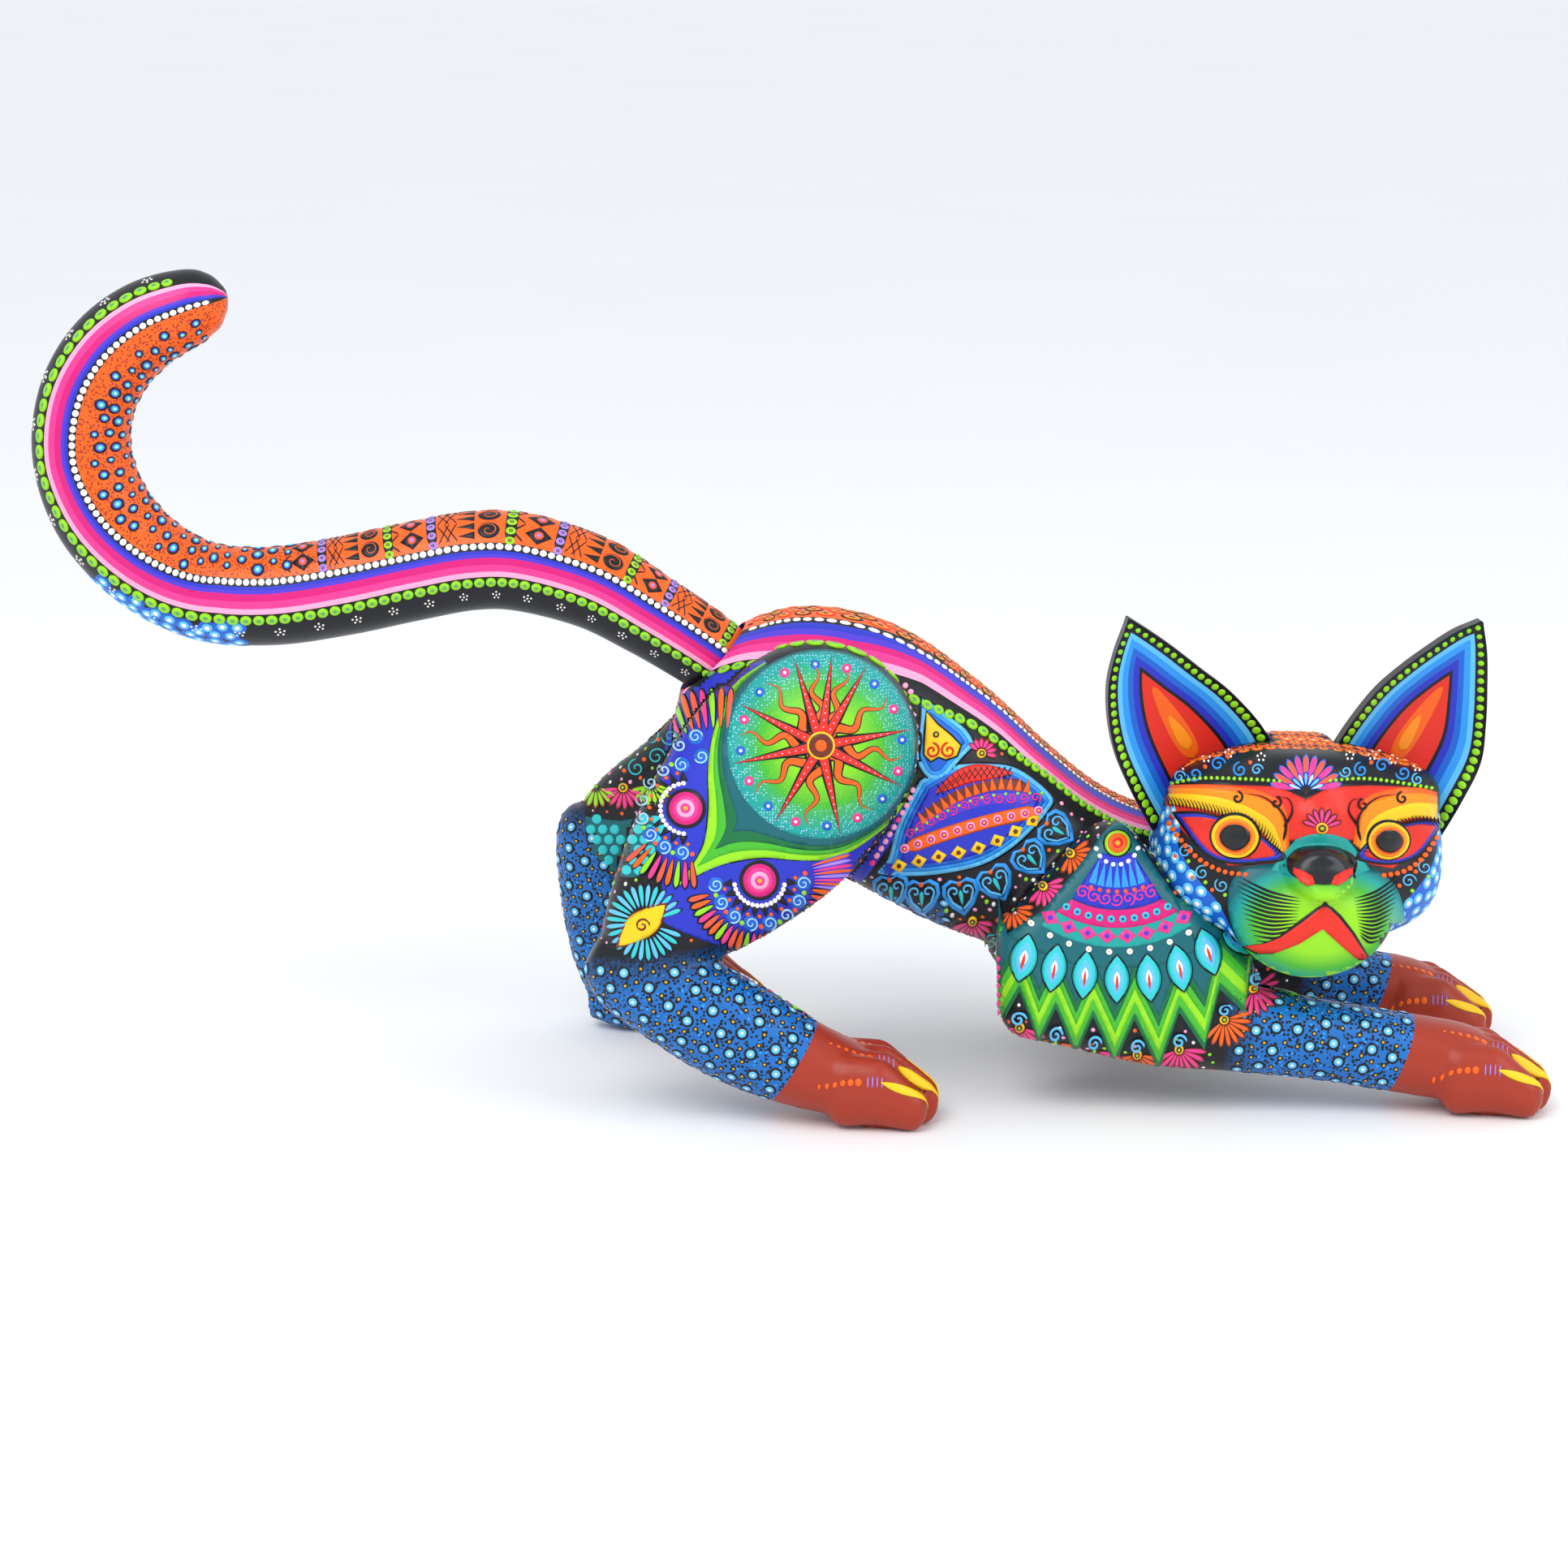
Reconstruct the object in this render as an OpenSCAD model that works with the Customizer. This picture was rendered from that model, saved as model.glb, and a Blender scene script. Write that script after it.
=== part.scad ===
// Carved and painted wooden cat in a crouch, with its head turned to its right.
// The cat looks along +X, its right side is -Y, and it stands on the plane z = 0.
// Ears and tail are loose pieces on round pegs; legs and head are glued to the torso over dowels.

/* [Body] */
// Half width of the torso across the hips
torso_half_w = 37; // [34:1:40]
// Number of sides on a torso section
torso_sides = 26; // [18:2:30]

/* [Tail] */
// Radius of the tail peg
tail_peg_r = 7; // [5:0.5:8]
// Length of the tail peg inside the torso
tail_peg_in = 24; // [18:1:28]
// Number of sides on a tail section
tail_sides = 20; // [14:2:24]

/* [Ears] */
// Radius of the ear pegs
ear_peg_r = 3; // [2.5:0.1:3.2]
// Length of an ear peg inside the head
ear_peg_in = 16; // [12:1:18]
// How far the back of an ear bulges
ear_bulge = 13; // [11:0.5:14]

/* [Joints] */
// Radius of the glued dowels in the legs
leg_dowel_r = 4; // [3:0.5:5]
// Radius of the glued dowel in the neck
neck_dowel_r = 6; // [5:0.5:7]
// Radial clearance of a loose peg in its socket
peg_clearance = 0.06; // [0.04:0.01:0.1]
// Gap between a loose piece and its seat
seat_gap = 0.3; // [0.2:0.05:0.5]

/* [Hidden] */

glue_clearance = 0.1;
block_fn = 24;
paw_fn = 16;
big = 400;
// Moves the model so that the origin is under the middle of its bounding box.
centre = [3.8, -0.5, 0];

// --- Smooth sections along a line -----------------------------------------------------------

function unit(v) = v / norm(v);
function curve_point(a, b, c, d, t) =
    0.5 * (2 * b + (c - a) * t + (2 * a - 5 * b + 4 * c - d) * t * t + (3 * b - a - 3 * c + d) * t * t * t);
// Catmull-Rom curve through rows of numbers, with n steps from each row to the next.
function smooth(rows, n) = [
    for (i = [0 : len(rows) - 2], j = [0 : n - 1])
        curve_point(rows[max(i - 1, 0)], rows[i], rows[i + 1], rows[min(i + 2, len(rows) - 1)], j / n),
    rows[len(rows) - 1]];
function place_of(row) = [row[0], row[1], row[2]];
function heading(rows, i) =
    unit(place_of(rows[min(i + 1, len(rows) - 1)]) - place_of(rows[max(i - 1, 0)]));
function side_axis(t) = unit([0, 1, 0] - t[1] * t);
function power(x, p) = sign(x) * pow(abs(x), p);
// One section: row is [x, y, z, half width, half height, squareness], where squareness 1 is an ellipse.
function section(row, t, sides) =
    let (s = side_axis(t), u = cross(t, s))
    [for (j = [0 : sides - 1])
        let (a = 360 * j / sides)
        place_of(row) + s * row[3] * power(cos(a), row[5]) + u * row[4] * power(sin(a), row[5])];

// Faces of a closed skin over rings of points, with both ends capped flat.
function skin_faces(rings, sides) = concat(
    [[for (j = [0 : sides - 1]) j]],
    [for (i = [0 : rings - 2], j = [0 : sides - 1])
        let (k = (j + 1) % sides) [i * sides + j, (i + 1) * sides + j, (i + 1) * sides + k]],
    [for (i = [0 : rings - 2], j = [0 : sides - 1])
        let (k = (j + 1) % sides) [i * sides + j, (i + 1) * sides + k, i * sides + k]],
    [[for (j = [sides - 1 : -1 : 0]) (rings - 1) * sides + j]]);

module loft(rows, sides, steps) {
    fine = smooth(rows, steps);
    points = [for (i = [0 : len(fine) - 1]) each section(fine[i], heading(fine, i), sides)];
    polyhedron(points = points, faces = skin_faces(len(fine), sides));
}

module ball(place, radii, fn = block_fn) translate(place) scale(radii) sphere(r = 1, $fn = fn);

module peg(place, direction, from, to, r) {
    spin = [0, acos(direction[2] / norm(direction)), atan2(direction[1], direction[0])];
    translate(place) rotate(spin) translate([0, 0, from]) cylinder(r = r, h = to - from, $fn = 48);
}

// --- Torso ----------------------------------------------------------------------------------

torso_rows = [
    [-38, 0, 132, 10, 9, 1], [-30, 0, 133, 25, 24, 1], [-8, 0, 134, torso_half_w - 2, 40, 0.95],
    [18, 0, 130.5, torso_half_w, 45, 0.95], [45, 0, 114, torso_half_w, 44, 0.95],
    [72, 0, 95, torso_half_w, 40, 0.95], [98, 0, 81, torso_half_w - 2, 35, 0.95],
    [122, 0, 74, torso_half_w - 6, 31, 0.95], [146, 0, 73, torso_half_w - 11, 27, 1],
    [166, 0, 77, 21, 21, 1], [178, 0, 80, 11, 10, 1]];
torso_steps = 4;

tail_seat = [-21, 0, 155];
tail_out = unit([-0.81, 0, 0.585]);
tail_seat_r = 17;

neck_place = [162, -10, 82];
neck_out = unit([0.62, -0.72, 0.3]);
neck_dowel_half = 20;

// Dowels that hold each leg, as places on the right side; the left side mirrors them.
front_dowel_places = [[106, 60], [132, 56]];
hind_dowel_places = [[-4, 128], [22, 128]];
leg_dowel_y = [20, 48];

module torso_block() loft(torso_rows, torso_sides, torso_steps);

// Half space beyond the neck joint, on the head's side, or on the torso's side with back = true.
module beyond_neck(back = false) {
    spin = [0, acos(neck_out[2]), atan2(neck_out[1], neck_out[0])];
    translate(neck_place) rotate(spin)
        translate([-big / 2, -big / 2, back ? -big : 0]) cube([big, big, big]);
}

module leg_dowel_row(places, side, r, from, to) {
    for (p = places) peg([p[0], 0, p[1]], [0, side, 0], from, to, r);
}

module torso() color("hotpink") difference() {
    torso_block();
    peg(tail_seat, tail_out, 0, 60, tail_seat_r);
    peg(tail_seat, tail_out, -tail_peg_in - 2, 1, tail_peg_r + peg_clearance);
    beyond_neck();
    peg(neck_place, neck_out, -neck_dowel_half - 1, 1, neck_dowel_r + glue_clearance);
    for (side = [-1, 1]) {
        leg_dowel_row(front_dowel_places, side, leg_dowel_r + glue_clearance, leg_dowel_y[0] - 1, 60);
        leg_dowel_row(hind_dowel_places, side, leg_dowel_r + glue_clearance, leg_dowel_y[0] - 1, 60);
    }
}

// --- Tail -----------------------------------------------------------------------------------

tail_peg_glued = 22;
tail_rows = [
    each [for (d = [0, 14]) [each (tail_seat + tail_out * (d + seat_gap)), 13 + d / 20, 14 + d / 20, 1]],
    [-50, 0, 174.5, 14.5, 15.5, 1], [-70, 0, 186, 15, 17, 1], [-95, 0, 193.5, 15.5, 18, 1],
    [-114, 0, 194, 16, 18, 1], [-136, 0, 190, 16, 18, 1], [-162, 0, 184.5, 16.5, 18, 1],
    [-188, 0, 181, 17, 18, 1], [-212, 0, 183, 17, 18, 1], [-232, 0, 193.5, 17, 18, 1],
    [-247.5, 0, 211, 16.5, 18.3, 1], [-254.5, 0, 232, 16, 18, 1], [-252.5, 0, 252, 16, 17.5, 1],
    [-243.5, 0, 268.5, 15.5, 17, 1], [-230, 0, 280, 15, 16, 1], [-215, 0, 286.5, 13.5, 14, 1],
    [-206, 0, 289, 10, 10.5, 1], [-201.5, 0, 290, 5, 5, 1]];
tail_steps = 3;

module tail() color("orangered") difference() {
    loft(tail_rows, tail_sides, tail_steps);
    peg(tail_seat, tail_out, -1, tail_peg_glued + 1, tail_peg_r + 0.02);
}

module tail_peg() color("burlywood") peg(tail_seat, tail_out, -tail_peg_in, tail_peg_glued, tail_peg_r);

// --- Head -----------------------------------------------------------------------------------

head_place = [186, -22, 92];
// Turn to the cat's left, then the tilt of the crown towards the cat's left, in degrees.
head_turn = 5;
head_tilt = 2.4;
// Half width, half depth and half height of the skull, and how boxy it is (2 is an ellipsoid).
skull = [51.5, 38.5, 41];
boxiness = 2.7;
// Features on the skull: [bearing, elevation, span across, span up, height, steepness], where the
// bearing is in degrees from straight ahead, and a negative height is a hollow.
features = [
    [0, -25, 38, 26, 15, 5],
    [0, 4, 14, 10, 11, 4],
    [0, 24, 11, 14, 6, 2],
    [-52, 32, 30, 12, 7, 2.5], [52, 32, 30, 12, 7, 2.5],
    [0, 52, 42, 12, 5, 2],
    [-37, 13, 16, 11, -4, 3], [37, 13, 16, 11, -4, 3],
    [-72, -8, 26, 20, 2, 2], [72, -8, 26, 20, 2, 2],
    [-66, -44, 34, 20, -7, 2], [66, -44, 34, 20, -7, 2]];
head_rings = 40;
head_sides = 42;

function lift_of(f, bearing, elevation) = f[4] * exp(-pow(
    pow((bearing - f[0]) / f[2], 2) + pow((elevation - f[1]) / f[3], 2), f[5] / 2));
function sum(list, i = 0) = i < len(list) ? list[i] + sum(list, i + 1) : 0;
function head_radius(v) =
    let (bearing = atan2(v[0], -v[1]), elevation = asin(v[2]))
    pow(sum([for (i = [0 : 2]) pow(abs(v[i]) / skull[i], boxiness)]), -1 / boxiness)
    + sum([for (f = features) lift_of(f, bearing, elevation)]);
// Rings run from the tip of the nose, at -Y, round to the back of the head.
function head_way(i, j) =
    let (a = 180 * pow(i / head_rings, 1.15), b = 360 * (j + 0.5) / head_sides)
    [sin(a) * cos(b), -cos(a), -sin(a) * sin(b)];
function head_fans(last, sides) = [for (j = [0 : sides - 1]) each [
    [0, 1 + j, 1 + (j + 1) % sides],
    [last, last - sides + (j + 1) % sides, last - sides + j]]];

module at_head() translate(head_place) rotate([0, head_tilt, head_turn]) children();

module head_block() {
    between = [for (i = [1 : head_rings - 1], j = [0 : head_sides - 1]) head_way(i, j)];
    ways = [[0, -1, 0], each between, [0, 1, 0]];
    points = [for (v = ways) v * head_radius(v)];
    body = [for (f = skin_faces(head_rings - 1, head_sides)) if (len(f) == 3) f + [1, 1, 1]];
    at_head() polyhedron(points = points, faces = concat(body, head_fans(len(points) - 1, head_sides)));
}

// Seat of the ear on the head's right side, from the head's centre; the left one mirrors it.
ear_seat = [-31, -3, 20];
ear_lean = 32;
ear_peg_y = 9;
pocket_half = 28;
ear_rim = 3;

// Puts its children, made for the right ear with z off the seat, on the head's right or left.
module at_ear(side) at_head() mirror([side > 0 ? 1 : 0, 0, 0])
    translate(ear_seat) rotate([0, -ear_lean, 0]) children();

module head() color("limegreen") difference() {
    head_block();
    beyond_neck(back = true);
    peg(neck_place, neck_out, -1, neck_dowel_half + 1, neck_dowel_r + glue_clearance);
    for (side = [-1, 1]) at_ear(side) {
        translate([-pocket_half, -ear_rim - seat_gap, 0]) cube([2 * pocket_half, 60, 60]);
        translate([0, ear_peg_y, -ear_peg_in - 1])
            cylinder(r = ear_peg_r + peg_clearance, h = ear_peg_in + 2, $fn = 48);
    }
}

module neck_dowel() color("burlywood") peg(neck_place, neck_out, -neck_dowel_half, neck_dowel_half, neck_dowel_r);

// --- Ears -----------------------------------------------------------------------------------

// Rows up each ear: [middle, half width, height, share of the bulge], with the middle off towards
// the crown. The two ears are cut by hand and differ.
ear_right_rows = [[0, 26.2, 0, 1], [0.3, 26.3, 14, 0.95], [-0.8, 23.8, 30, 0.8], [-1.6, 19.3, 43, 0.62],
    [-1, 13.8, 55, 0.42], [0.8, 7.8, 64, 0.25], [3, 2, 71, 0.1]];
ear_left_rows = [[0, 26, 0, 1], [1, 25.8, 14, 0.95], [2, 24, 30, 0.8], [4, 18.8, 43, 0.62],
    [6, 12.5, 55, 0.42], [7.5, 7.2, 64, 0.25], [8.5, 2, 70.5, 0.1]];
ear_steps = 3;
ear_across = 12;
ear_peg_glued = 12;
// Share of the bulge that the hollow at the front leaves solid, at the base and above it.
function ear_solid(z) = 0.06 + 0.4 * exp(-z / 14);

function ear_section(row) =
    let (d = ear_bulge * row[3], hollow = 1 - ear_solid(row[2]))
    concat(
        [for (j = [0 : ear_across]) let (v = 1 - 2 * j / ear_across)
            [row[0] + v * row[1], d * (1 - v * v) + ear_rim, row[2]]],
        [for (j = [0 : ear_across]) let (v = 2 * j / ear_across - 1)
            [row[0] + v * row[1], d * (1 - v * v) * hollow - ear_rim, row[2]]]);

module ear(side, shape_rows) {
    rows = smooth(shape_rows, ear_steps);
    at_ear(side) translate([0, 0, seat_gap]) difference() {
        polyhedron(points = [for (r = rows) each ear_section(r)],
            faces = skin_faces(len(rows), 2 * ear_across + 2));
        translate([0, ear_peg_y, -1]) cylinder(r = ear_peg_r + 0.02, h = ear_peg_glued + 2, $fn = 48);
    }
}

module ear_peg(side) at_ear(side)
    translate([0, ear_peg_y, -ear_peg_in]) cylinder(r = ear_peg_r, h = ear_peg_in + ear_peg_glued, $fn = 48);

module ear_right() color("royalblue") ear(-1, ear_right_rows);
module ear_left() color("royalblue") ear(1, ear_left_rows);
module ear_right_peg() color("burlywood") ear_peg(-1);
module ear_left_peg() color("burlywood") ear_peg(1);

// --- Legs -----------------------------------------------------------------------------------

toe_r = 8;
sole_h = 8;
// A paw of four toes on a flat sole: heel and tip are on the foot's middle line.
module paw(heel, tip, half_w, height) {
    along = unit([tip[0] - heel[0], tip[1] - heel[1], 0]);
    across = [-along[1], along[0], 0];
    hull() for (place = [heel + along * 12, tip - along * 9])
        translate([place[0], place[1], 0]) cylinder(r1 = half_w * 0.62, r2 = half_w * 0.85, h = sole_h, $fn = 32);
    for (k = [-1.5 : 1 : 1.5]) {
        reach = 1 - 0.07 * k * k;
        root = heel + across * k * half_w * 0.42 + [0, 0, height * 0.2];
        toe = heel + (tip - heel) * reach + across * k * half_w * 0.5;
        knuckle = (root + toe) / 2 + [0, 0, height * 0.12];
        hull() {
            ball(root, [toe_r, toe_r, height * 0.5], paw_fn);
            ball(knuckle, [toe_r, toe_r * 0.95, height * 0.46], paw_fn);
        }
        hull() {
            ball(knuckle, [toe_r, toe_r * 0.95, height * 0.46], paw_fn);
            ball(toe, [toe_r * 0.8, toe_r * 0.72, height * 0.3], paw_fn);
        }
    }
}

module dowel_holes(places, side)
    leg_dowel_row(places, side, leg_dowel_r + glue_clearance, 0, leg_dowel_y[1] + 1);

// Everything that a leg block gives way to: the floor, the torso, the head and the dowels.
module fitted(places, side) difference() {
    children();
    translate([-big, -big, -big]) cube([2 * big, 2 * big, big]);
    torso_block();
    head_block();
    dowel_holes(places, side);
}

module front_leg_shape(reach, shoulder_z) {
    hull() {
        ball([117, -40, shoulder_z], [11, 14, 11]);
        ball([89, -46, 62], [13, 15, 13]);
        ball([89, -46, 38], [11, 15, 11]);
        ball([134, -46, 32], [14, 15, 14]);
        ball([158, -45, 50], [13, 15, 13]);
    }
    loft([[110, -45, 36, 14, 14, 0.9], [135, -46, 34, 16.5, 17, 0.9], [160, -46, 31, 16, 16, 0.9],
        [195, -46, 26, 15, 14.5, 0.9], [226 + reach, -45, 20.5, 15, 14.5, 0.9],
        [246 + reach, -45, 17, 16, 14, 0.9], [258 + reach, -45, 13, 12, 11, 0.9]], 20, 3);
    paw([244 + reach, -45, 9], [273 + reach, -46, 8], 17, 27);
}

module hind_leg_right_shape() {
    hull() {
        ball([11, -42, 135], [38, 27, 37]);
        ball([-2, -45, 113], [34, 24, 32]);
    }
    loft([[8, -42, 132, 24, 40, 1], [-8, -45, 112, 24, 40, 1], [-28, -50, 90, 22, 33, 1],
        [-44, -54, 73, 18.5, 23, 1], [-55, -56, 61, 14, 14, 1]], 20, 3);
    loft([[-69, -56, 62, 7, 7, 1], [-60, -56, 57, 14, 15, 1], [-42, -57, 47, 17, 18, 1],
        [-18, -58, 33, 17.5, 19, 1], [4, -59, 22, 17, 16.5, 1], [24, -60, 15, 17, 13, 0.9],
        [36, -60, 11, 13, 10, 0.9]], 20, 3);
    paw([22, -60, 9], [50, -61, 8], 17, 27);
}

module hind_leg_left_shape() {
    hull() {
        ball([12, 42, 131], [36, 26, 34]);
        ball([0, 45, 116], [30, 24, 28]);
    }
    loft([[8, 42, 128, 24, 36, 1], [-12, 47, 114, 22, 31, 1], [-36, 53, 98, 19, 24, 1],
        [-58, 58, 84, 16.5, 20, 1], [-71, 60, 73, 13, 15, 1]], 20, 3);
    loft([[-71, 60, 88, 9, 11, 0.9], [-71, 60, 80, 15, 17, 0.9], [-68, 60, 56, 15, 19, 0.9],
        [-65, 60, 34, 15, 18, 0.9], [-59, 60, 16, 15, 17, 0.9], [-59, 60, 4, 12, 13, 0.9]], 20, 3);
    loft([[-76, 60, 13, 7, 9, 0.8], [-62, 60, 14, 15, 14, 0.8], [-42, 60, 15, 15.5, 14, 0.8],
        [-24, 60, 12, 12, 12, 0.8]], 20, 3);
    paw([-40, 60, 11], [-12, 60, 9], 16, 28);
}

module front_leg_right() color("dodgerblue") fitted(front_dowel_places, -1) front_leg_shape(0, 95);
module front_leg_left() color("dodgerblue")
    fitted(front_dowel_places, 1) mirror([0, 1, 0]) front_leg_shape(-6, 84);
module hind_leg_right() color("seagreen") fitted(hind_dowel_places, -1) hind_leg_right_shape();
module hind_leg_left() color("seagreen") fitted(hind_dowel_places, 1) hind_leg_left_shape();

module dowels(places, side) color("burlywood")
    leg_dowel_row(places, side, leg_dowel_r, leg_dowel_y[0], leg_dowel_y[1]);

module placed() translate(-centre) children();

placed() torso();
placed() head();
placed() tail();
placed() tail_peg();
placed() ear_right();
placed() ear_right_peg();
placed() ear_left();
placed() ear_left_peg();
placed() front_leg_right();
placed() front_leg_left();
placed() hind_leg_right();
placed() hind_leg_left();
placed() neck_dowel();
placed() dowels(front_dowel_places, -1);  // front_right_dowels
placed() dowels(front_dowel_places, 1);  // front_left_dowels
placed() dowels(hind_dowel_places, -1);  // hind_right_dowels
placed() dowels(hind_dowel_places, 1);  // hind_left_dowels
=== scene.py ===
"""Looks of a carved and painted wooden cat: smooth carved pieces, base coats and raised brush paint.

Places are in millimetres, in the frame of the CAD source before it is centred: the cat looks along +X,
its right side is -Y and it stands on z = 0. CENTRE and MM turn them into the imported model's metres.
Paint is laid in coats: each motif is drawn flat on a sheet, thrown onto a carved piece and lifted off
it by its layer, and all patches of one colour on one piece become one mesh.
"""

import math
import random
from itertools import product

import bmesh
import bpy
import numpy as np
from mathutils import Matrix, Vector
from mathutils.bvhtree import BVHTree
from mathutils.geometry import delaunay_2d_cdt
from mathutils.kdtree import KDTree


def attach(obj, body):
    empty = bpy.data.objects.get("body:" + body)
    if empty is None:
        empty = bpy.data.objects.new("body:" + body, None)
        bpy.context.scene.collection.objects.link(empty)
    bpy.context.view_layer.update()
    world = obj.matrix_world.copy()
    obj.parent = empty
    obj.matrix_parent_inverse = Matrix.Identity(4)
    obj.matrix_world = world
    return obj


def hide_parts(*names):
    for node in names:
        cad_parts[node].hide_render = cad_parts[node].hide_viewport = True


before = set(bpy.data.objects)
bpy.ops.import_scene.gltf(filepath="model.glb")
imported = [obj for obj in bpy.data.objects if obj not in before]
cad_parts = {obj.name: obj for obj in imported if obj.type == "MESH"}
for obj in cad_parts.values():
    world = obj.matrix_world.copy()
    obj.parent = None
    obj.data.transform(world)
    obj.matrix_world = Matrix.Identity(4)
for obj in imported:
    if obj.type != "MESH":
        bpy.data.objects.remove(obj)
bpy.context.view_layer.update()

MM = 0.001
CENTRE = np.array([3.8, -0.5, 0.0])

# --- Camera and light: first, because the paint sheets are thrown from the same eye -----------------

VIEW_TARGET = np.array([0.0, 0.0, 110.5])
VIEW_DISTANCE = 1500.0
VIEW_ELEVATION = math.radians(13)
VIEW_LENS = 93.17
EYE = VIEW_TARGET + VIEW_DISTANCE * np.array([0, -math.cos(VIEW_ELEVATION), math.sin(VIEW_ELEVATION)])


def metres(points):
    """Millimetres in the CAD source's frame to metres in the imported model's frame."""
    return (np.asarray(points, float) - CENTRE) * MM


def make_camera():
    """A level-held camera at the eye, tilted down by the view's elevation."""
    data = bpy.data.cameras.new("view")
    data.lens = VIEW_LENS
    camera = bpy.data.objects.new("view", data)
    bpy.context.scene.collection.objects.link(camera)
    camera.location = metres(EYE)
    camera.rotation_euler = (math.pi / 2 - VIEW_ELEVATION, 0, 0)
    bpy.context.scene.camera = camera


LIT_PLACE = (0, 0, 0.1)


def make_light(name, place, size, power):
    """A round soft light at a place in metres, turned to the middle of the cat."""
    data = bpy.data.lights.new(name, "AREA")
    data.shape = "DISK"
    data.size = size
    data.energy = power
    light = bpy.data.objects.new(name, data)
    bpy.context.scene.collection.objects.link(light)
    light.location = place
    light.rotation_euler = (Vector(LIT_PLACE) - Vector(place)).to_track_quat("-Z", "Y").to_euler()


def make_world(strength):
    """Even, slightly cool light from all round."""
    world = bpy.data.worlds.new("studio")
    world.use_nodes = True
    background = world.node_tree.nodes["Background"]
    background.inputs["Color"].default_value = (0.93, 0.96, 1.0, 1)
    background.inputs["Strength"].default_value = strength
    bpy.context.scene.world = world


# --- Colours and materials --------------------------------------------------------------------------

COLOURS = {
    "white": "f6f2ea", "black": "0c0e16", "orange": "ee5e0c", "amber": "f58a12", "red": "dc2a1c",
    "yellow": "f9c513", "gold": "d8a51c", "lime": "8fd61a", "green": "44b02a", "dark_green": "0d6a3c",
    "dark_teal": "0b5f68", "teal": "159a94", "turquoise": "2cc3c6", "pale_blue": "a9d8f2",
    "light_blue": "5dbcf0", "sky": "2b93e8", "azure": "1268b8", "blue": "1560c8", "royal": "2430b8",
    "violet": "4a35c4", "lavender": "a385ea", "magenta": "cf1275", "hot_pink": "f2358a", "pink": "f777b2",
    "light_pink": "fba3c8", "paw_red": "a0321c", "brown": "6a2a1c", "coral": "f4553c", "sage": "5f9a5c"}


def colour(name):
    """Linear RGBA of a named colour."""
    text = COLOURS[name]
    parts = [int(text[i:i + 2], 16) / 255 for i in (0, 2, 4)]
    return tuple(c / 12.92 if c <= 0.04045 else ((c + 0.055) / 1.055) ** 2.4 for c in parts) + (1.0,)


def add(tree, kind, settings=None, **inputs):
    """A shader node; an input is a socket to link or a constant, and in3 is the socket at place 3."""
    node = tree.nodes.new("ShaderNode" + kind)
    for key, value in (settings or {}).items():
        setattr(node, key, value)
    for key, value in inputs.items():
        socket = node.inputs[int(key[2:])] if key[:2] == "in" else node.inputs[key.replace("_", " ")]
        if isinstance(value, bpy.types.NodeSocket):
            tree.links.new(value, socket)
        else:
            socket.default_value = value
    return node


def calc(tree, operation, a, b=0.0):
    """A sum of two numbers or sockets."""
    return add(tree, "Math", {"operation": operation}, in0=a, in1=b).outputs[0]


def above(tree, value, edge):
    """1 where a value is over an edge, 0 elsewhere."""
    return calc(tree, "GREATER_THAN", value, edge)


def mix(tree, share, a, b):
    """Colour a where the share is 0, colour b where it is 1."""
    return add(tree, "Mix", {"data_type": "RGBA"}, in0=share, in6=a, in7=b).outputs[2]


def field(tree, name):
    """A smooth number kept on the mesh's points."""
    return add(tree, "Attribute", {"attribute_name": name}).outputs["Fac"]


def ramp(tree, value, stops, step=True):
    """Colours against a value from 0 to 1: stops are (place, colour name)."""
    node = add(tree, "ValToRGB", None, Fac=value)
    band = node.color_ramp
    band.interpolation = "CONSTANT" if step else "LINEAR"
    for i, (place, name) in enumerate(stops):
        stop = band.elements[i] if i < 2 else band.elements.new(1)
        stop.position = place
        stop.color = colour(name)
    return node.outputs["Color"]


def specks(tree, per_metre, reach, randomness=0.85):
    """1 inside small round specks scattered over the surface, 0 between them."""
    place = add(tree, "TexCoord").outputs["Object"]
    cells = add(tree, "TexVoronoi", None, Vector=place, Scale=per_metre, Randomness=randomness)
    return calc(tree, "LESS_THAN", cells.outputs["Distance"], reach)


SPECULAR = 0.28


def finish_material(material, base, roughness=0.4, coat=0.12, bump=0.06):
    """The satin of varnished acrylic paint over carved wood, with the faint drag of a brush."""
    tree = material.node_tree
    shader = tree.nodes["Principled BSDF"]
    place = add(tree, "TexCoord").outputs["Object"]
    patches = add(tree, "TexNoise", None, Vector=place, Scale=60.0, Detail=4.0)
    drag = add(tree, "TexNoise", None, Vector=place, Scale=420.0, Detail=3.0)
    if isinstance(base, bpy.types.NodeSocket):
        worn = add(tree, "MapRange", None, Value=patches.outputs[0], To_Min=0.93, To_Max=1.05)
        shade = add(tree, "HueSaturation", None, Value=worn.outputs[0], Color=base)
        tree.links.new(shade.outputs[0], shader.inputs["Base Color"])
    else:
        shader.inputs["Base Color"].default_value = base
    gloss = add(tree, "MapRange", None, Value=patches.outputs[0], To_Min=roughness - 0.08,
                To_Max=roughness + 0.1)
    tree.links.new(gloss.outputs[0], shader.inputs["Roughness"])
    shader.inputs["Specular IOR Level"].default_value = SPECULAR
    shader.inputs["Coat Weight"].default_value = coat
    shader.inputs["Coat Roughness"].default_value = 0.22
    relief = add(tree, "Bump", None, Height=drag.outputs[0], Strength=bump, Distance=0.0006)
    tree.links.new(relief.outputs[0], shader.inputs["Normal"])


def new_material(name):
    """A material with nodes, still plain."""
    material = bpy.data.materials.new(name)
    material.use_nodes = True
    return material


# --- Carved forms -----------------------------------------------------------------------------------

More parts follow.
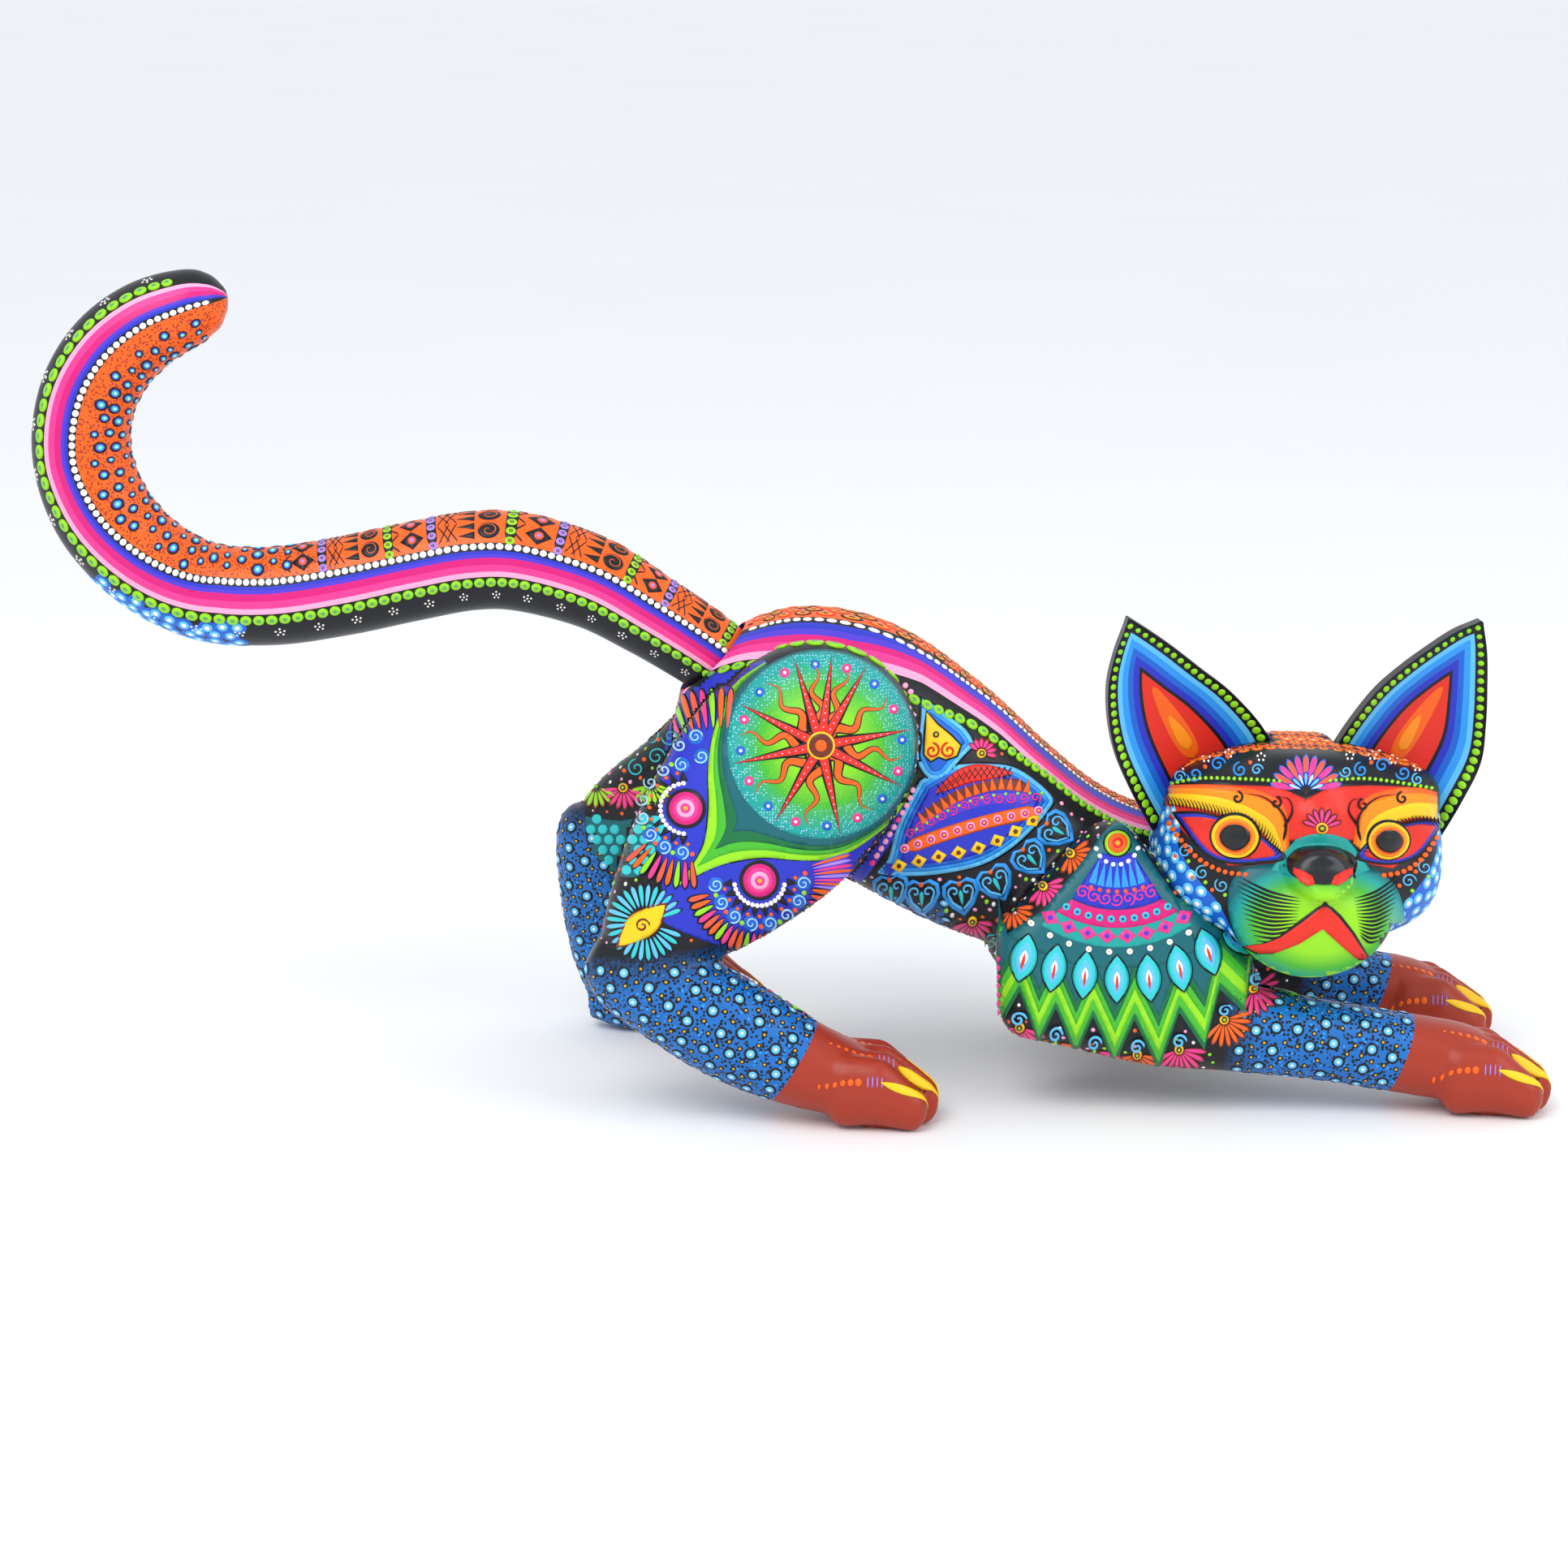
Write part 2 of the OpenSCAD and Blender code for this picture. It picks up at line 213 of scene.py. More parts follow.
# Sections along the torso and the tail: [x, y, z, half width, half height, power], where a power of 1
# gives an ellipse and a smaller one a squarer section.
TORSO_ROWS = [
    [-41, 0, 131.8, 3, 3, 1], [-38, 0, 132, 10, 9, 1], [-30, 0, 133, 25, 24, 1], [-8, 0, 134, 35, 40, 0.95],
    [18, 0, 130.5, 37, 45, 0.95], [45, 0, 114, 37, 44, 0.95], [72, 0, 95, 37, 40, 0.95],
    [98, 0, 81, 35, 35, 0.95], [122, 0, 74, 31, 31, 0.95], [146, 0, 73, 26, 27, 1],
    [166, 0, 77, 21, 21, 1], [178, 0, 80, 11, 10, 1]]

TAIL_SEAT = np.array([-21.0, 0, 155])
TAIL_OUT = np.array([-0.81, 0, 0.585]) / math.hypot(0.81, 0.585)
TAIL_SEAT_R = 17
SEAT_CLEAR = 60
TAIL_PEG_BORE = (7.06, 26)
TAIL_NECK = 14.3
SEAT_GAP = 0.3
TAIL_ROWS = [
    [*(TAIL_SEAT + TAIL_OUT * SEAT_GAP), 13, 14, 1], [*(TAIL_SEAT + TAIL_OUT * TAIL_NECK), 13.7, 14.7, 1],
    [-50, 0, 174.5, 14.5, 15.5, 1], [-70, 0, 186, 15, 17, 1], [-95, 0, 193.5, 15.5, 18, 1],
    [-114, 0, 194, 16, 18, 1], [-136, 0, 190, 16, 18, 1], [-162, 0, 184.5, 16.5, 18, 1],
    [-188, 0, 181, 17, 18, 1], [-212, 0, 183, 17, 18, 1], [-232, 0, 193.5, 17, 18, 1],
    [-247.5, 0, 211, 16.5, 18.3, 1], [-254.5, 0, 232, 16, 18, 1], [-252.5, 0, 252, 16, 17.5, 1],
    [-243.5, 0, 268.5, 15.5, 17, 1], [-230, 0, 280, 15, 16, 1], [-215, 0, 286.5, 13.5, 14, 1],
    [-206, 0, 289, 10, 10.5, 1], [-201.5, 0, 290, 5, 5, 1], [-200.3, 0, 290.2, 1.5, 1.5, 1]]

HEAD_PLACE = np.array([186.0, -22, 92])
HEAD_TURN = math.radians(5)
HEAD_TILT = math.radians(2.4)
SKULL = np.array([51.5, 38.5, 41])
BOXINESS = 2.7
# Swellings and hollows of the head: [bearing, elevation, span across, span up, height, steepness] in
# degrees and millimetres.
FEATURES = [
    [0, -25, 38, 26, 15, 5], [0, 3, 15, 10, 10, 7], [0, 24, 11, 14, 6, 2], [-52, 32, 30, 12, 7, 2.5],
    [52, 32, 30, 12, 7, 2.5], [0, 52, 42, 12, 5, 2], [-37, 13, 16, 11, -4, 3], [37, 13, 16, 11, -4, 3],
    [-72, -8, 26, 20, 2, 2], [72, -8, 26, 20, 2, 2], [-66, -44, 34, 20, -7, 2], [66, -44, 34, 20, -7, 2],
    [-36, 12, 8, 6, 2.2, 3], [36, 12, 8, 6, 2.2, 3], [-8, -4, 3.5, 3.5, -2, 3], [8, -4, 3.5, 3.5, -2, 3]]

EAR_SEAT = np.array([-31.0, -3, 20])
EAR_LEAN = math.radians(32)
EAR_PEG_Y = 9
EAR_PEG_BORE = (3.06, 17)
POCKET_HALF = 28
POCKET_HIGH = 60
EAR_RIM = 3
EAR_BULGE = 13
RIM_SPAN = 30
# How much of the bulge is solid: little at the tip, and more towards the root.
EAR_THIN, EAR_ROOT, EAR_ROOT_HIGH = 0.06, 0.4, 14
# Rows up each ear: [middle, half width, height, share of the bulge].
EAR_ROWS = {
    "right": [[0, 26.2, 0, 1], [0.3, 26.3, 14, 0.95], [-0.8, 23.8, 30, 0.8], [-1.6, 19.3, 43, 0.62],
              [-1, 13.8, 55, 0.42], [0.8, 7.8, 64, 0.25], [3, 2, 71, 0.1], [3.5, 0.4, 73, 0.06]],
    "left": [[0, 26, 0, 1], [1, 25.8, 14, 0.95], [2, 24, 30, 0.8], [4, 18.8, 43, 0.62],
             [6, 12.5, 55, 0.42], [7.5, 7.2, 64, 0.25], [8.5, 2, 70.5, 0.1], [8.8, 0.4, 72.5, 0.06]]}

BODY_VOXEL = 1.5
# Sanding of the body: least at the paws, and in full above SAND_FROM + SAND_OVER.
SAND_FROM, SAND_OVER = 22, 30
SAND_LEAST = 0.08
SAND_FACTOR = 0.6
SAND_PASSES = 14


def unit(v):
    """Vectors of length 1, one for each row."""
    return v / np.linalg.norm(v, axis=-1, keepdims=True)


def smooth(rows, steps):
    """Catmull-Rom curve through rows of numbers, with so many steps from each row to the next."""
    rows = np.array(rows, float)
    a = rows[np.maximum(np.arange(len(rows) - 1) - 1, 0)][:, None]
    b = rows[:-1][:, None]
    c = rows[1:][:, None]
    d = rows[np.minimum(np.arange(len(rows) - 1) + 2, len(rows) - 1)][:, None]
    t = (np.arange(steps) / steps)[None, :, None]
    line = 0.5 * (2 * b + (c - a) * t + (2 * a - 5 * b + 4 * c - d) * t ** 2
                  + (3 * b - a - 3 * c + d) * t ** 3)
    return np.vstack([line.reshape(-1, rows.shape[1]), rows[-1:]])


def axes_along(places):
    """Heading, sideways and upward axes at each place of a line."""
    way = unit(np.vstack([places[1] - places[0], places[2:] - places[:-2], places[-1] - places[-2]]))
    side = unit(np.array([0, 1, 0]) - way[:, 1:2] * way)
    return way, side, np.cross(way, side)


def skin(rings, sides):
    """Faces over closed rings of points, with both ends capped."""
    faces = [tuple(range(sides)), tuple((rings - 1) * sides + j for j in reversed(range(sides)))]
    for i in range(rings - 1):
        for j in range(sides):
            k = (j + 1) % sides
            faces.append((i * sides + j, (i + 1) * sides + j, (i + 1) * sides + k, i * sides + k))
    return faces


def power(x, p):
    """A power that keeps the sign."""
    return np.sign(x) * np.abs(x) ** p


def loft(rows, sides, steps):
    """Points and faces of a smooth skin over rows of sections."""
    fine = smooth(rows, steps)
    place = fine[:, :3]
    _, side, up = axes_along(place)
    angle = np.arange(sides) * 2 * math.pi / sides
    across = fine[:, 3:4] * power(np.cos(angle)[None], fine[:, 5:6])
    high = fine[:, 4:5] * power(np.sin(angle)[None], fine[:, 5:6])
    points = place[:, None] + side[:, None] * across[..., None] + up[:, None] * high[..., None]
    return points.reshape(-1, 3), skin(len(fine), sides)


def make_mesh(name, points, faces):
    """A mesh object from points in millimetres, with its faces turned outward."""
    data = bpy.data.meshes.new(name)
    data.from_pydata(metres(points).tolist(), [], faces)
    shape = bmesh.new()
    shape.from_mesh(data)
    bmesh.ops.recalc_face_normals(shape, faces=shape.faces)
    shape.to_mesh(data)
    shape.free()
    obj = bpy.data.objects.new(name, data)
    bpy.context.scene.collection.objects.link(obj)
    return obj


def bake_modifiers(obj):
    """Applies an object's modifiers to its mesh."""
    graph = bpy.context.evaluated_depsgraph_get()
    data = bpy.data.meshes.new_from_object(obj.evaluated_get(graph))
    obj.modifiers.clear()
    obj.data = data


def cut(obj, tools):
    """Takes the tools' space out of obj and removes the tools."""
    for tool in tools:
        modifier = obj.modifiers.new("cut", "BOOLEAN")
        modifier.operation = "DIFFERENCE"
        modifier.solver = "EXACT"
        modifier.object = tool
    bpy.context.view_layer.update()
    bake_modifiers(obj)
    for tool in tools:
        bpy.data.objects.remove(tool)


def rod(name, start, direction, length, radius, sides=64):
    """A closed round rod, used as a cutting tool."""
    place = np.array([start + direction * d for d in (0.0, length)])
    side = unit(np.cross(direction, [0.0, 1.0, 0.01]))
    up = np.cross(direction, side)
    angle = np.arange(sides) * 2 * math.pi / sides
    ring = radius * (np.cos(angle)[:, None] * side + np.sin(angle)[:, None] * up)
    return make_mesh(name, (place[:, None] + ring[None]).reshape(-1, 3), skin(2, sides))


def points_of(obj):
    """The mesh's points in millimetres, in the CAD source's frame."""
    flat = np.empty(len(obj.data.vertices) * 3, np.float64)
    obj.data.vertices.foreach_get("co", flat)
    return flat.reshape(-1, 3) / MM + CENTRE


def keep_field(obj, name, values):
    """Keeps a number for each point of a mesh, for its materials to read."""
    layer = obj.data.attributes.new(name, "FLOAT", "POINT")
    layer.data.foreach_set("value", np.asarray(values, np.float32))


def largest_part(obj):
    """Drops every loose part of the mesh except the largest."""
    shape = bmesh.new()
    shape.from_mesh(obj.data)
    unseen = set(shape.verts)
    parts = []
    while unseen:
        edge = [unseen.pop()]
        part = list(edge)
        while edge:
            vertex = edge.pop()
            for link in vertex.link_edges:
                other = link.other_vert(vertex)
                if other in unseen:
                    unseen.remove(other)
                    edge.append(other)
                    part.append(other)
        parts.append(part)
    parts.sort(key=len)
    for part in parts[:-1]:
        bmesh.ops.delete(shape, geom=part, context="VERTS")
    shape.to_mesh(obj.data)
    shape.free()


def smooth_shading(obj, degrees=50):
    """Smooth shading, with edges sharper than an angle left crisp."""
    obj.data.shade_smooth()
    obj.data.set_sharp_from_angle(angle=math.radians(degrees))


LEG_NODES = ("front_leg_right", "front_leg_left", "hind_leg_right", "hind_leg_left")
DOWEL_NODES = ("front_right_dowels", "front_left_dowels", "hind_right_dowels", "hind_left_dowels")

# Each paw's heel, tip and half width, as it is carved.
PAWS = {"front_leg_right": ((244, -45), (273, -46), 17), "front_leg_left": ((238, 45), (267, 46), 17),
        "hind_leg_right": ((22, -60), (50, -61), 17), "hind_leg_left": ((-40, 60), (-12, 60), 16)}
GROOVE_DEPTH = 2.1
GROOVE_WIDTH = 1.5
TOE_TOP = 34


def paw_axes(leg):
    """A paw's heel, its forward axis with its length, and its sideways axis with its half width."""
    heel, tip, half = (np.array(v, float) for v in PAWS[leg])
    along = unit(tip - heel)
    return heel, along * np.linalg.norm(tip - heel), np.array([-along[1], along[0]]) * half


def carve_toes(body):
    """Grooves between the four toes of each paw, cut as with a gouge."""
    points = points_of(body)
    flat = np.empty(len(points) * 3)
    body.data.vertex_normals.foreach_get("vector", flat)
    normals = flat.reshape(-1, 3)
    for leg in PAWS:
        heel, forward, sideways = paw_axes(leg)
        offset = points[:, :2] - heel
        # f runs from 0 at the heel to 1 at the tip, and s from -1 to 1 across the paw.
        f = offset @ forward / (forward @ forward)
        s = offset @ sideways / (sideways @ sideways)
        near = (points[:, 2] < TOE_TOP) & (np.abs(s) < 1.3) & (f > 0.1) & (f < 1.5)
        share = np.clip((f - 0.3) / 0.35, 0, 1) * np.clip((points[:, 2] - 2) / 4, 0, 1)
        for middle in (-0.5, 0, 0.5):
            miss = (s - middle) * np.linalg.norm(sideways) / GROOVE_WIDTH
            points -= normals * (GROOVE_DEPTH * near * share * np.exp(-miss ** 2))[:, None]
    body.data.vertices.foreach_set("co", metres(points).ravel())
    body.data.update()


def make_body():
    """Torso and legs as one carved skin: the glue lines are filled, sanded and painted over."""
    body = make_mesh("carved_body", *loft(TORSO_ROWS, 96, 12))
    shape = bmesh.new()
    shape.from_mesh(body.data)
    for node in LEG_NODES + DOWEL_NODES:
        shape.from_mesh(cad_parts[node].data)
    shape.to_mesh(body.data)
    shape.free()
    remesh = body.modifiers.new("skin", "REMESH")
    remesh.mode = "VOXEL"
    remesh.voxel_size = BODY_VOXEL * MM
    bake_modifiers(body)
    largest_part(body)
    height = points_of(body)[:, 2]
    group = body.vertex_groups.new(name="sanded")
    for i, share in enumerate(np.clip((height - SAND_FROM) / SAND_OVER, SAND_LEAST, 1).tolist()):
        group.add([i], share, "REPLACE")
    sand = body.modifiers.new("sand", "SMOOTH")
    sand.factor = SAND_FACTOR
    sand.iterations = SAND_PASSES
    sand.vertex_group = "sanded"
    bake_modifiers(body)
    carve_toes(body)
    seat = rod("seat", TAIL_SEAT, TAIL_OUT, SEAT_CLEAR, TAIL_SEAT_R)
    radius, depth = TAIL_PEG_BORE
    bore = rod("bore", TAIL_SEAT + TAIL_OUT, -TAIL_OUT, depth + 1, radius)
    cut(body, [seat, bore])
    smooth_shading(body)
    return body


def head_radius(ways):
    """How far the head's skin is from its middle, along unit vectors in its own axes."""
    bearing = np.degrees(np.arctan2(ways[:, 0], -ways[:, 1]))
    elevation = np.degrees(np.arcsin(np.clip(ways[:, 2], -1, 1)))
    reach = (np.abs(ways / SKULL) ** BOXINESS).sum(1) ** (-1 / BOXINESS)
    for at, up, span, rise, height, steep in FEATURES:
        away = ((bearing - at) / span) ** 2 + ((elevation - up) / rise) ** 2
        reach = reach + height * np.exp(-away ** (steep / 2))
    return reach


FACE_CROWDING = 1.15
HEAD_FRAME = Matrix.Rotation(HEAD_TURN, 3, "Z") @ Matrix.Rotation(HEAD_TILT, 3, "Y")


def from_head(points):
    """From the head's own axes to the cat's frame."""
    return np.asarray(points, float) @ np.array(HEAD_FRAME).T + HEAD_PLACE


def from_ear(side, points):
    """From an ear's axes, with z off its seat and +X towards the crown, to the cat's frame."""
    points = np.asarray(points, float)
    c, s = math.cos(EAR_LEAN), math.sin(EAR_LEAN)
    leaned = np.stack([c * points[:, 0] - s * points[:, 2], points[:, 1],
                       s * points[:, 0] + c * points[:, 2]], 1) + EAR_SEAT
    return from_head(leaned * [-1 if side == "left" else 1, 1, 1])


def ear_way(side, direction):
    """A direction in an ear's axes, in the cat's frame."""
    return unit(from_ear(side, [direction])[0] - from_ear(side, [[0, 0, 0]])[0])


def make_head(rings=200, sides=220):
    """The head as rings round its forward axis, closer on the face, with the ears' seats cut out."""
    a = math.pi * (np.arange(1, rings) / rings) ** FACE_CROWDING
    b = 2 * math.pi * (np.arange(sides) + 0.5) / sides
    ways = np.stack([np.sin(a)[:, None] * np.cos(b), np.broadcast_to(-np.cos(a)[:, None], (rings - 1, sides)),
                     -np.sin(a)[:, None] * np.sin(b)], -1).reshape(-1, 3)
    ways = np.vstack([ways, [[0, -1, 0], [0, 1, 0]]])
    faces = skin(rings - 1, sides)[2:]
    last = (rings - 2) * sides
    faces += [(j, (j + 1) % sides, len(ways) - 2) for j in range(sides)]
    faces += [(last + j, last + (j + 1) % sides, len(ways) - 1) for j in range(sides)]
    head = make_mesh("carved_head", from_head(ways * head_radius(ways)[:, None]), faces)
    tools = []
    for side in EAR_ROWS:
        low, high = -EAR_RIM - SEAT_GAP, POCKET_HIGH
        corners = [[x, y, z] for z in (0, high) for x, y in (
            (-POCKET_HALF, low), (POCKET_HALF, low), (POCKET_HALF, high), (-POCKET_HALF, high))]
        tools.append(make_mesh("pocket", from_ear(side, corners), skin(2, 4)))
        start = from_ear(side, [[0, EAR_PEG_Y, 1]])[0]
        radius, depth = EAR_PEG_BORE
        tools.append(rod("bore", start, ear_way(side, [0, 0, -1]), depth + 1, radius))
    cut(head, tools)
    smooth_shading(head)
    return head


def make_ear(side, across=40, steps=10):
    """An ear, with fields for the paint: millimetres in from its rim, and front or back."""
    rows = smooth(EAR_ROWS[side], steps)
    v = np.linspace(1, -1, across + 1)
    middle, half, height, share = (rows[:, i:i + 1] for i in range(4))
    solid = EAR_THIN + EAR_ROOT * np.exp(-height / EAR_ROOT_HIGH)
    bulge = EAR_BULGE * share * (1 - v ** 2)
    x = middle + half * v
    z = np.broadcast_to(height, x.shape) + SEAT_GAP
    back = np.stack([x, bulge + EAR_RIM, z], -1)
    front = np.stack([x, bulge * (1 - solid) - EAR_RIM, z], -1)[:, ::-1]
    points = np.concatenate([back, front], 1)
    ear = make_mesh("carved_ear_" + side, from_ear(side, points.reshape(-1, 3)),
                    skin(len(rows), 2 * across + 2))
    rim = np.broadcast_to((1 - np.abs(v)) * half, x.shape)
    keep_field(ear, "rim", (np.concatenate([rim, rim[:, ::-1]], 1) / RIM_SPAN).ravel())
    keep_field(ear, "front", np.concatenate([x * 0, x * 0 + 1], 1).ravel())
    smooth_shading(ear, 40)
    return ear


LINE_STEPS = 40
BATCH = 4000
NEARER = 0.15


class Tube:
    """A smooth line with section axes: gives places round it, and finds where points lie round it."""

    def __init__(self, rows, top):
        self.place = smooth(rows, LINE_STEPS)[:, :3]
        self.way, self.side, up = axes_along(self.place)
        self.up = up * top
        self.run = np.concatenate([[0], np.cumsum(np.linalg.norm(np.diff(self.place, axis=0), axis=1))])

    def at(self, run):
        """Place, side axis and up axis at lengths along the line."""
        return [np.stack([np.interp(run, self.run, a[:, i]) for i in range(3)], -1)
                for a in (self.place, self.side, self.up)]

    def locate(self, points):
        """Length along the line, and degrees round it: 90 is its top, 0 its side, -90 its underside."""
        run, angle = np.empty(len(points)), np.empty(len(points))
        for start in range(0, len(points), BATCH):
            part = slice(start, start + BATCH)
            offset = points[part][:, None] - self.place[None]
            miss = np.abs((offset * self.way).sum(-1)) + NEARER * np.linalg.norm(offset, axis=-1)
            best = miss.argmin(1)
            rest = offset[np.arange(len(best)), best]
            run[part] = self.run[best] + (rest * self.way[best]).sum(-1)
            angle[part] = np.degrees(np.arctan2(
                (rest * self.up[best]).sum(-1), np.abs((rest * self.side[best]).sum(-1))))
        return run, angle


TORSO_LINE = Tube(TORSO_ROWS, 1)
TAIL_LINE = Tube(TAIL_ROWS, -1)

# Edges of the striped bands over the back, as shares of the way from the top down to their end.
BAND_EDGES = {"orange": 0, "black": 0.26, "royal": 0.36, "violet": 0.46, "magenta": 0.54, "hot_pink": 0.63,
              "light_pink": 0.74, "ovals": 0.84, "end": 1.0}


def band_end(x):
    """Degrees round the torso where its bands end: lower over the haunch, higher over the ribs."""
    return np.interp(x, [-30, 0, 25, 50, 79, 100, 125], [48, 39, 39, 50, 54, 51, 48])


def tail_drop(run):
    """Degrees by which the tail's bands turn towards its outer side in the hook."""
    return np.interp(run, [196, 270], [0, 30])


# Planes across each leg, (x factor, z factor, constant), positive on the paw's side.
PAW_PLANES = {"hind_leg_right": (0.853, -0.52, 8.7), "hind_leg_left": (0.9, -0.43, 50),
              "front_leg_right": (0.94, -0.34, -203), "front_leg_left": (0.94, -0.34, -208)}
PAW_TOP = 56
NOT_PAW = -99.0


def leg_of(points):
    """Masks of the points nearest each leg, by place."""
    hind = points[:, 0] < 60
    right = points[:, 1] < 0
    return {"hind_leg_right": hind & right, "hind_leg_left": hind & ~right,
            "front_leg_right": ~hind & right, "front_leg_left": ~hind & ~right}


def paw_distance(points):
    """Millimetres past the edge of a paw's red paint; negative off the paw."""
    far = np.full(len(points), NOT_PAW)
    for leg, mask in leg_of(points).items():
        x, z, constant = PAW_PLANES[leg]
        far[mask] = points[mask, 0] * x + points[mask, 2] * z + constant
    return np.where(points[:, 2] < PAW_TOP, far, NOT_PAW)


STIPPLE_FADE = 14.0


def stipple_depth(points):
    """Millimetres into the blue stippled part of a leg; negative above it."""
    x, y, z = points.T
    hind = np.where(y < 0, 67 + 0.12 * (x + 30), np.clip(87 - 1.6 * (x + 75), 44, 90)) - z
    front = np.minimum(x - np.where(y < 0, 158, 196), 62 - z)
    return np.where(x < 60, hind, front)


def body_fields(body):
    """Numbers that tell the body's material where the bands, the paws and the stipple are."""
    points = points_of(body)
    _, angle = TORSO_LINE.locate(points)
    share = (90 - angle) / (90 - band_end(points[:, 0]))
    keep_field(body, "band", np.clip(share / 2, 0, 1))  # halved, so that a ramp also reaches past the end
    keep_field(body, "paw", paw_distance(points))
    keep_field(body, "stipple", stipple_depth(points))


def body_material():
    """Black ground with striped bands over the back, blue stippled legs and red paws."""
    material = new_material("painted_body")
    tree = material.node_tree
    names = list(BAND_EDGES)
    stops = [(BAND_EDGES[n] / 2, n) for n in names[:-2]] + [(BAND_EDGES["ovals"] / 2, "black")]
    base = ramp(tree, field(tree, "band"), stops)
    stipple = mix(tree, specks(tree, per_metre=640, reach=0.38), colour("azure"), colour("black"))
    lit = mix(tree, specks(tree, per_metre=380, reach=0.2), stipple, colour("sky"))
    depth = field(tree, "stipple")
    fade = add(tree, "MapRange", None, Value=depth, From_Min=0.0, From_Max=STIPPLE_FADE).outputs[0]
    base = mix(tree, above(tree, depth, 0), base, mix(tree, fade, colour("black"), lit))
    base = mix(tree, above(tree, field(tree, "paw"), 0), base, colour("paw_red"))
    finish_material(material, base)
    return material


# Degrees from the tail's top to the end of its orange panel, and the length along it where stipple starts.
PANEL_END = 57
HOOK_FROM = 150


def tail_fields(tail):
    """Half turns from the tail's top, and millimetres along it."""
    run, angle = TAIL_LINE.locate(points_of(tail))
    keep_field(tail, "band", (90 - angle - tail_drop(run)) / 180)
    keep_field(tail, "run", run)


def tail_material():
    """Striped bands from the orange panel on top to the black underside, with stipple in the hook."""
    material = new_material("painted_tail")
    tree = material.node_tree
    edges = [("orange", 0), ("black", PANEL_END), ("royal", 68), ("violet", 72), ("magenta", 77),
             ("hot_pink", 86), ("light_pink", 95), ("black", 102)]
    band = field(tree, "band")
    base = ramp(tree, band, [(degrees / 180, name) for name, degrees in edges])
    stippled = mix(tree, specks(tree, per_metre=900, reach=0.38), colour("orange"), colour("paw_red"))
    panel = calc(tree, "LESS_THAN", band, PANEL_END / 180)
    hook = calc(tree, "MULTIPLY", above(tree, field(tree, "run"), HOOK_FROM), panel)
    finish_material(material, mix(tree, hook, base, stippled))
    return material


def ear_material():
    """Stripes that follow the rim: blues round a red field in front, pinks round orange behind."""
    material = new_material("painted_ear")
    tree = material.node_tree
    rim = field(tree, "rim")
    stops = [("black", 0), ("light_blue", 4.6), ("sky", 6.6), ("blue", 9.2), ("royal", 11.6), ("black", 14.0),
             ("red", 15.3)]
    front = ramp(tree, rim, [(millimetres / RIM_SPAN, name) for name, millimetres in stops])
    back_stops = [("black", 0), ("royal", 4.6), ("magenta", 8), ("hot_pink", 11), ("light_pink", 14),
                  ("orange", 17)]
    back = ramp(tree, rim, [(millimetres / RIM_SPAN, name) for name, millimetres in back_stops])
    finish_material(material, mix(tree, above(tree, field(tree, "front"), 0.5), back, front))
    return material


def head_angles(points):
    """Degrees round the head from straight ahead, and up from level."""
    local = (points - HEAD_PLACE) @ np.array(HEAD_FRAME)
    bearing = np.degrees(np.arctan2(local[:, 0], -local[:, 1]))
    return bearing, np.degrees(np.arcsin(np.clip(local[:, 2] / np.linalg.norm(local, axis=1), -1, 1)))


def cheek_depth(bearing, elevation):
    """How far inside the scaled sides of the head a place is, in degrees; negative outside them."""
    front = np.abs(bearing) - np.interp(elevation, [-26, -14, 6], [37, 46, 64])
    top = 20 - 0.4 * np.clip(np.abs(bearing) - 75, 0, 60) - elevation
    back = 124 - 0.4 * np.abs(elevation + 20) - np.abs(bearing)
    return np.minimum(np.minimum(front, back), np.minimum(top, elevation + 60))


# The chin's green ground, in degrees, and a round patch of the same ground just under the nose.
CHIN_LEVEL = -44
CHIN_SPAN = (42, 24)
UNDER_NOSE = (196, -78, 90)
UNDER_NOSE_REACH = 14


def head_fields(head):
    """Numbers that tell the head's material where the chin and the cheeks are."""
    bearing, elevation = head_angles(points_of(head))
    chin = 1 - np.hypot(bearing / CHIN_SPAN[0], (elevation - CHIN_LEVEL) / CHIN_SPAN[1]) ** 2
    under_nose = 1 - (np.linalg.norm(points_of(head) - UNDER_NOSE, axis=1) / UNDER_NOSE_REACH) ** 2
    keep_field(head, "chin", np.clip(np.maximum(chin, under_nose), 0, 1))
    keep_field(head, "cheek", cheek_depth(bearing, elevation))


def head_material():
    """Black, with the muzzle's green running on under the chin, and blue cheeks."""
    material = new_material("painted_head")
    tree = material.node_tree
    stops = [(0, "black"), (0.02, "teal"), (0.25, "green"), (0.7, "lime")]
    chin = ramp(tree, field(tree, "chin"), stops, step=False)
    scaled = mix(tree, above(tree, field(tree, "cheek"), 0), chin, colour("blue"))
    finish_material(material, scaled)
    return material


def coat_material(name, tint):
    """Varnished paint of one colour, or one of the shaded grounds."""
    material = new_material(name)
    tree = material.node_tree
    if tint == "medallion":
        reach = field(tree, "shade")
        ground = ramp(tree, reach, [(0, "lime"), (0.32, "lime"), (0.64, "green"), (0.92, "teal")], step=False)
        fine = mix(tree, specks(tree, 1000, reach=0.2, randomness=0.5), ground, colour("lime"))
        pale = mix(tree, specks(tree, 1000, reach=0.26, randomness=0.5), ground, colour("pale_blue"))
        finish_material(material, mix(tree, above(tree, reach, 0.68), fine, pale))
    elif tint == "muzzle":
        stops = [(0, "lime"), (0.34, "lime"), (0.6, "green"), (0.84, "teal"), (1.0, "dark_teal")]
        finish_material(material, ramp(tree, field(tree, "shade"), stops, step=False))
    elif tint == "pupil":
        finish_material(material, colour("black"), roughness=0.3, coat=0.35, bump=0.02)
    else:
        finish_material(material, colour(tint))
    return material


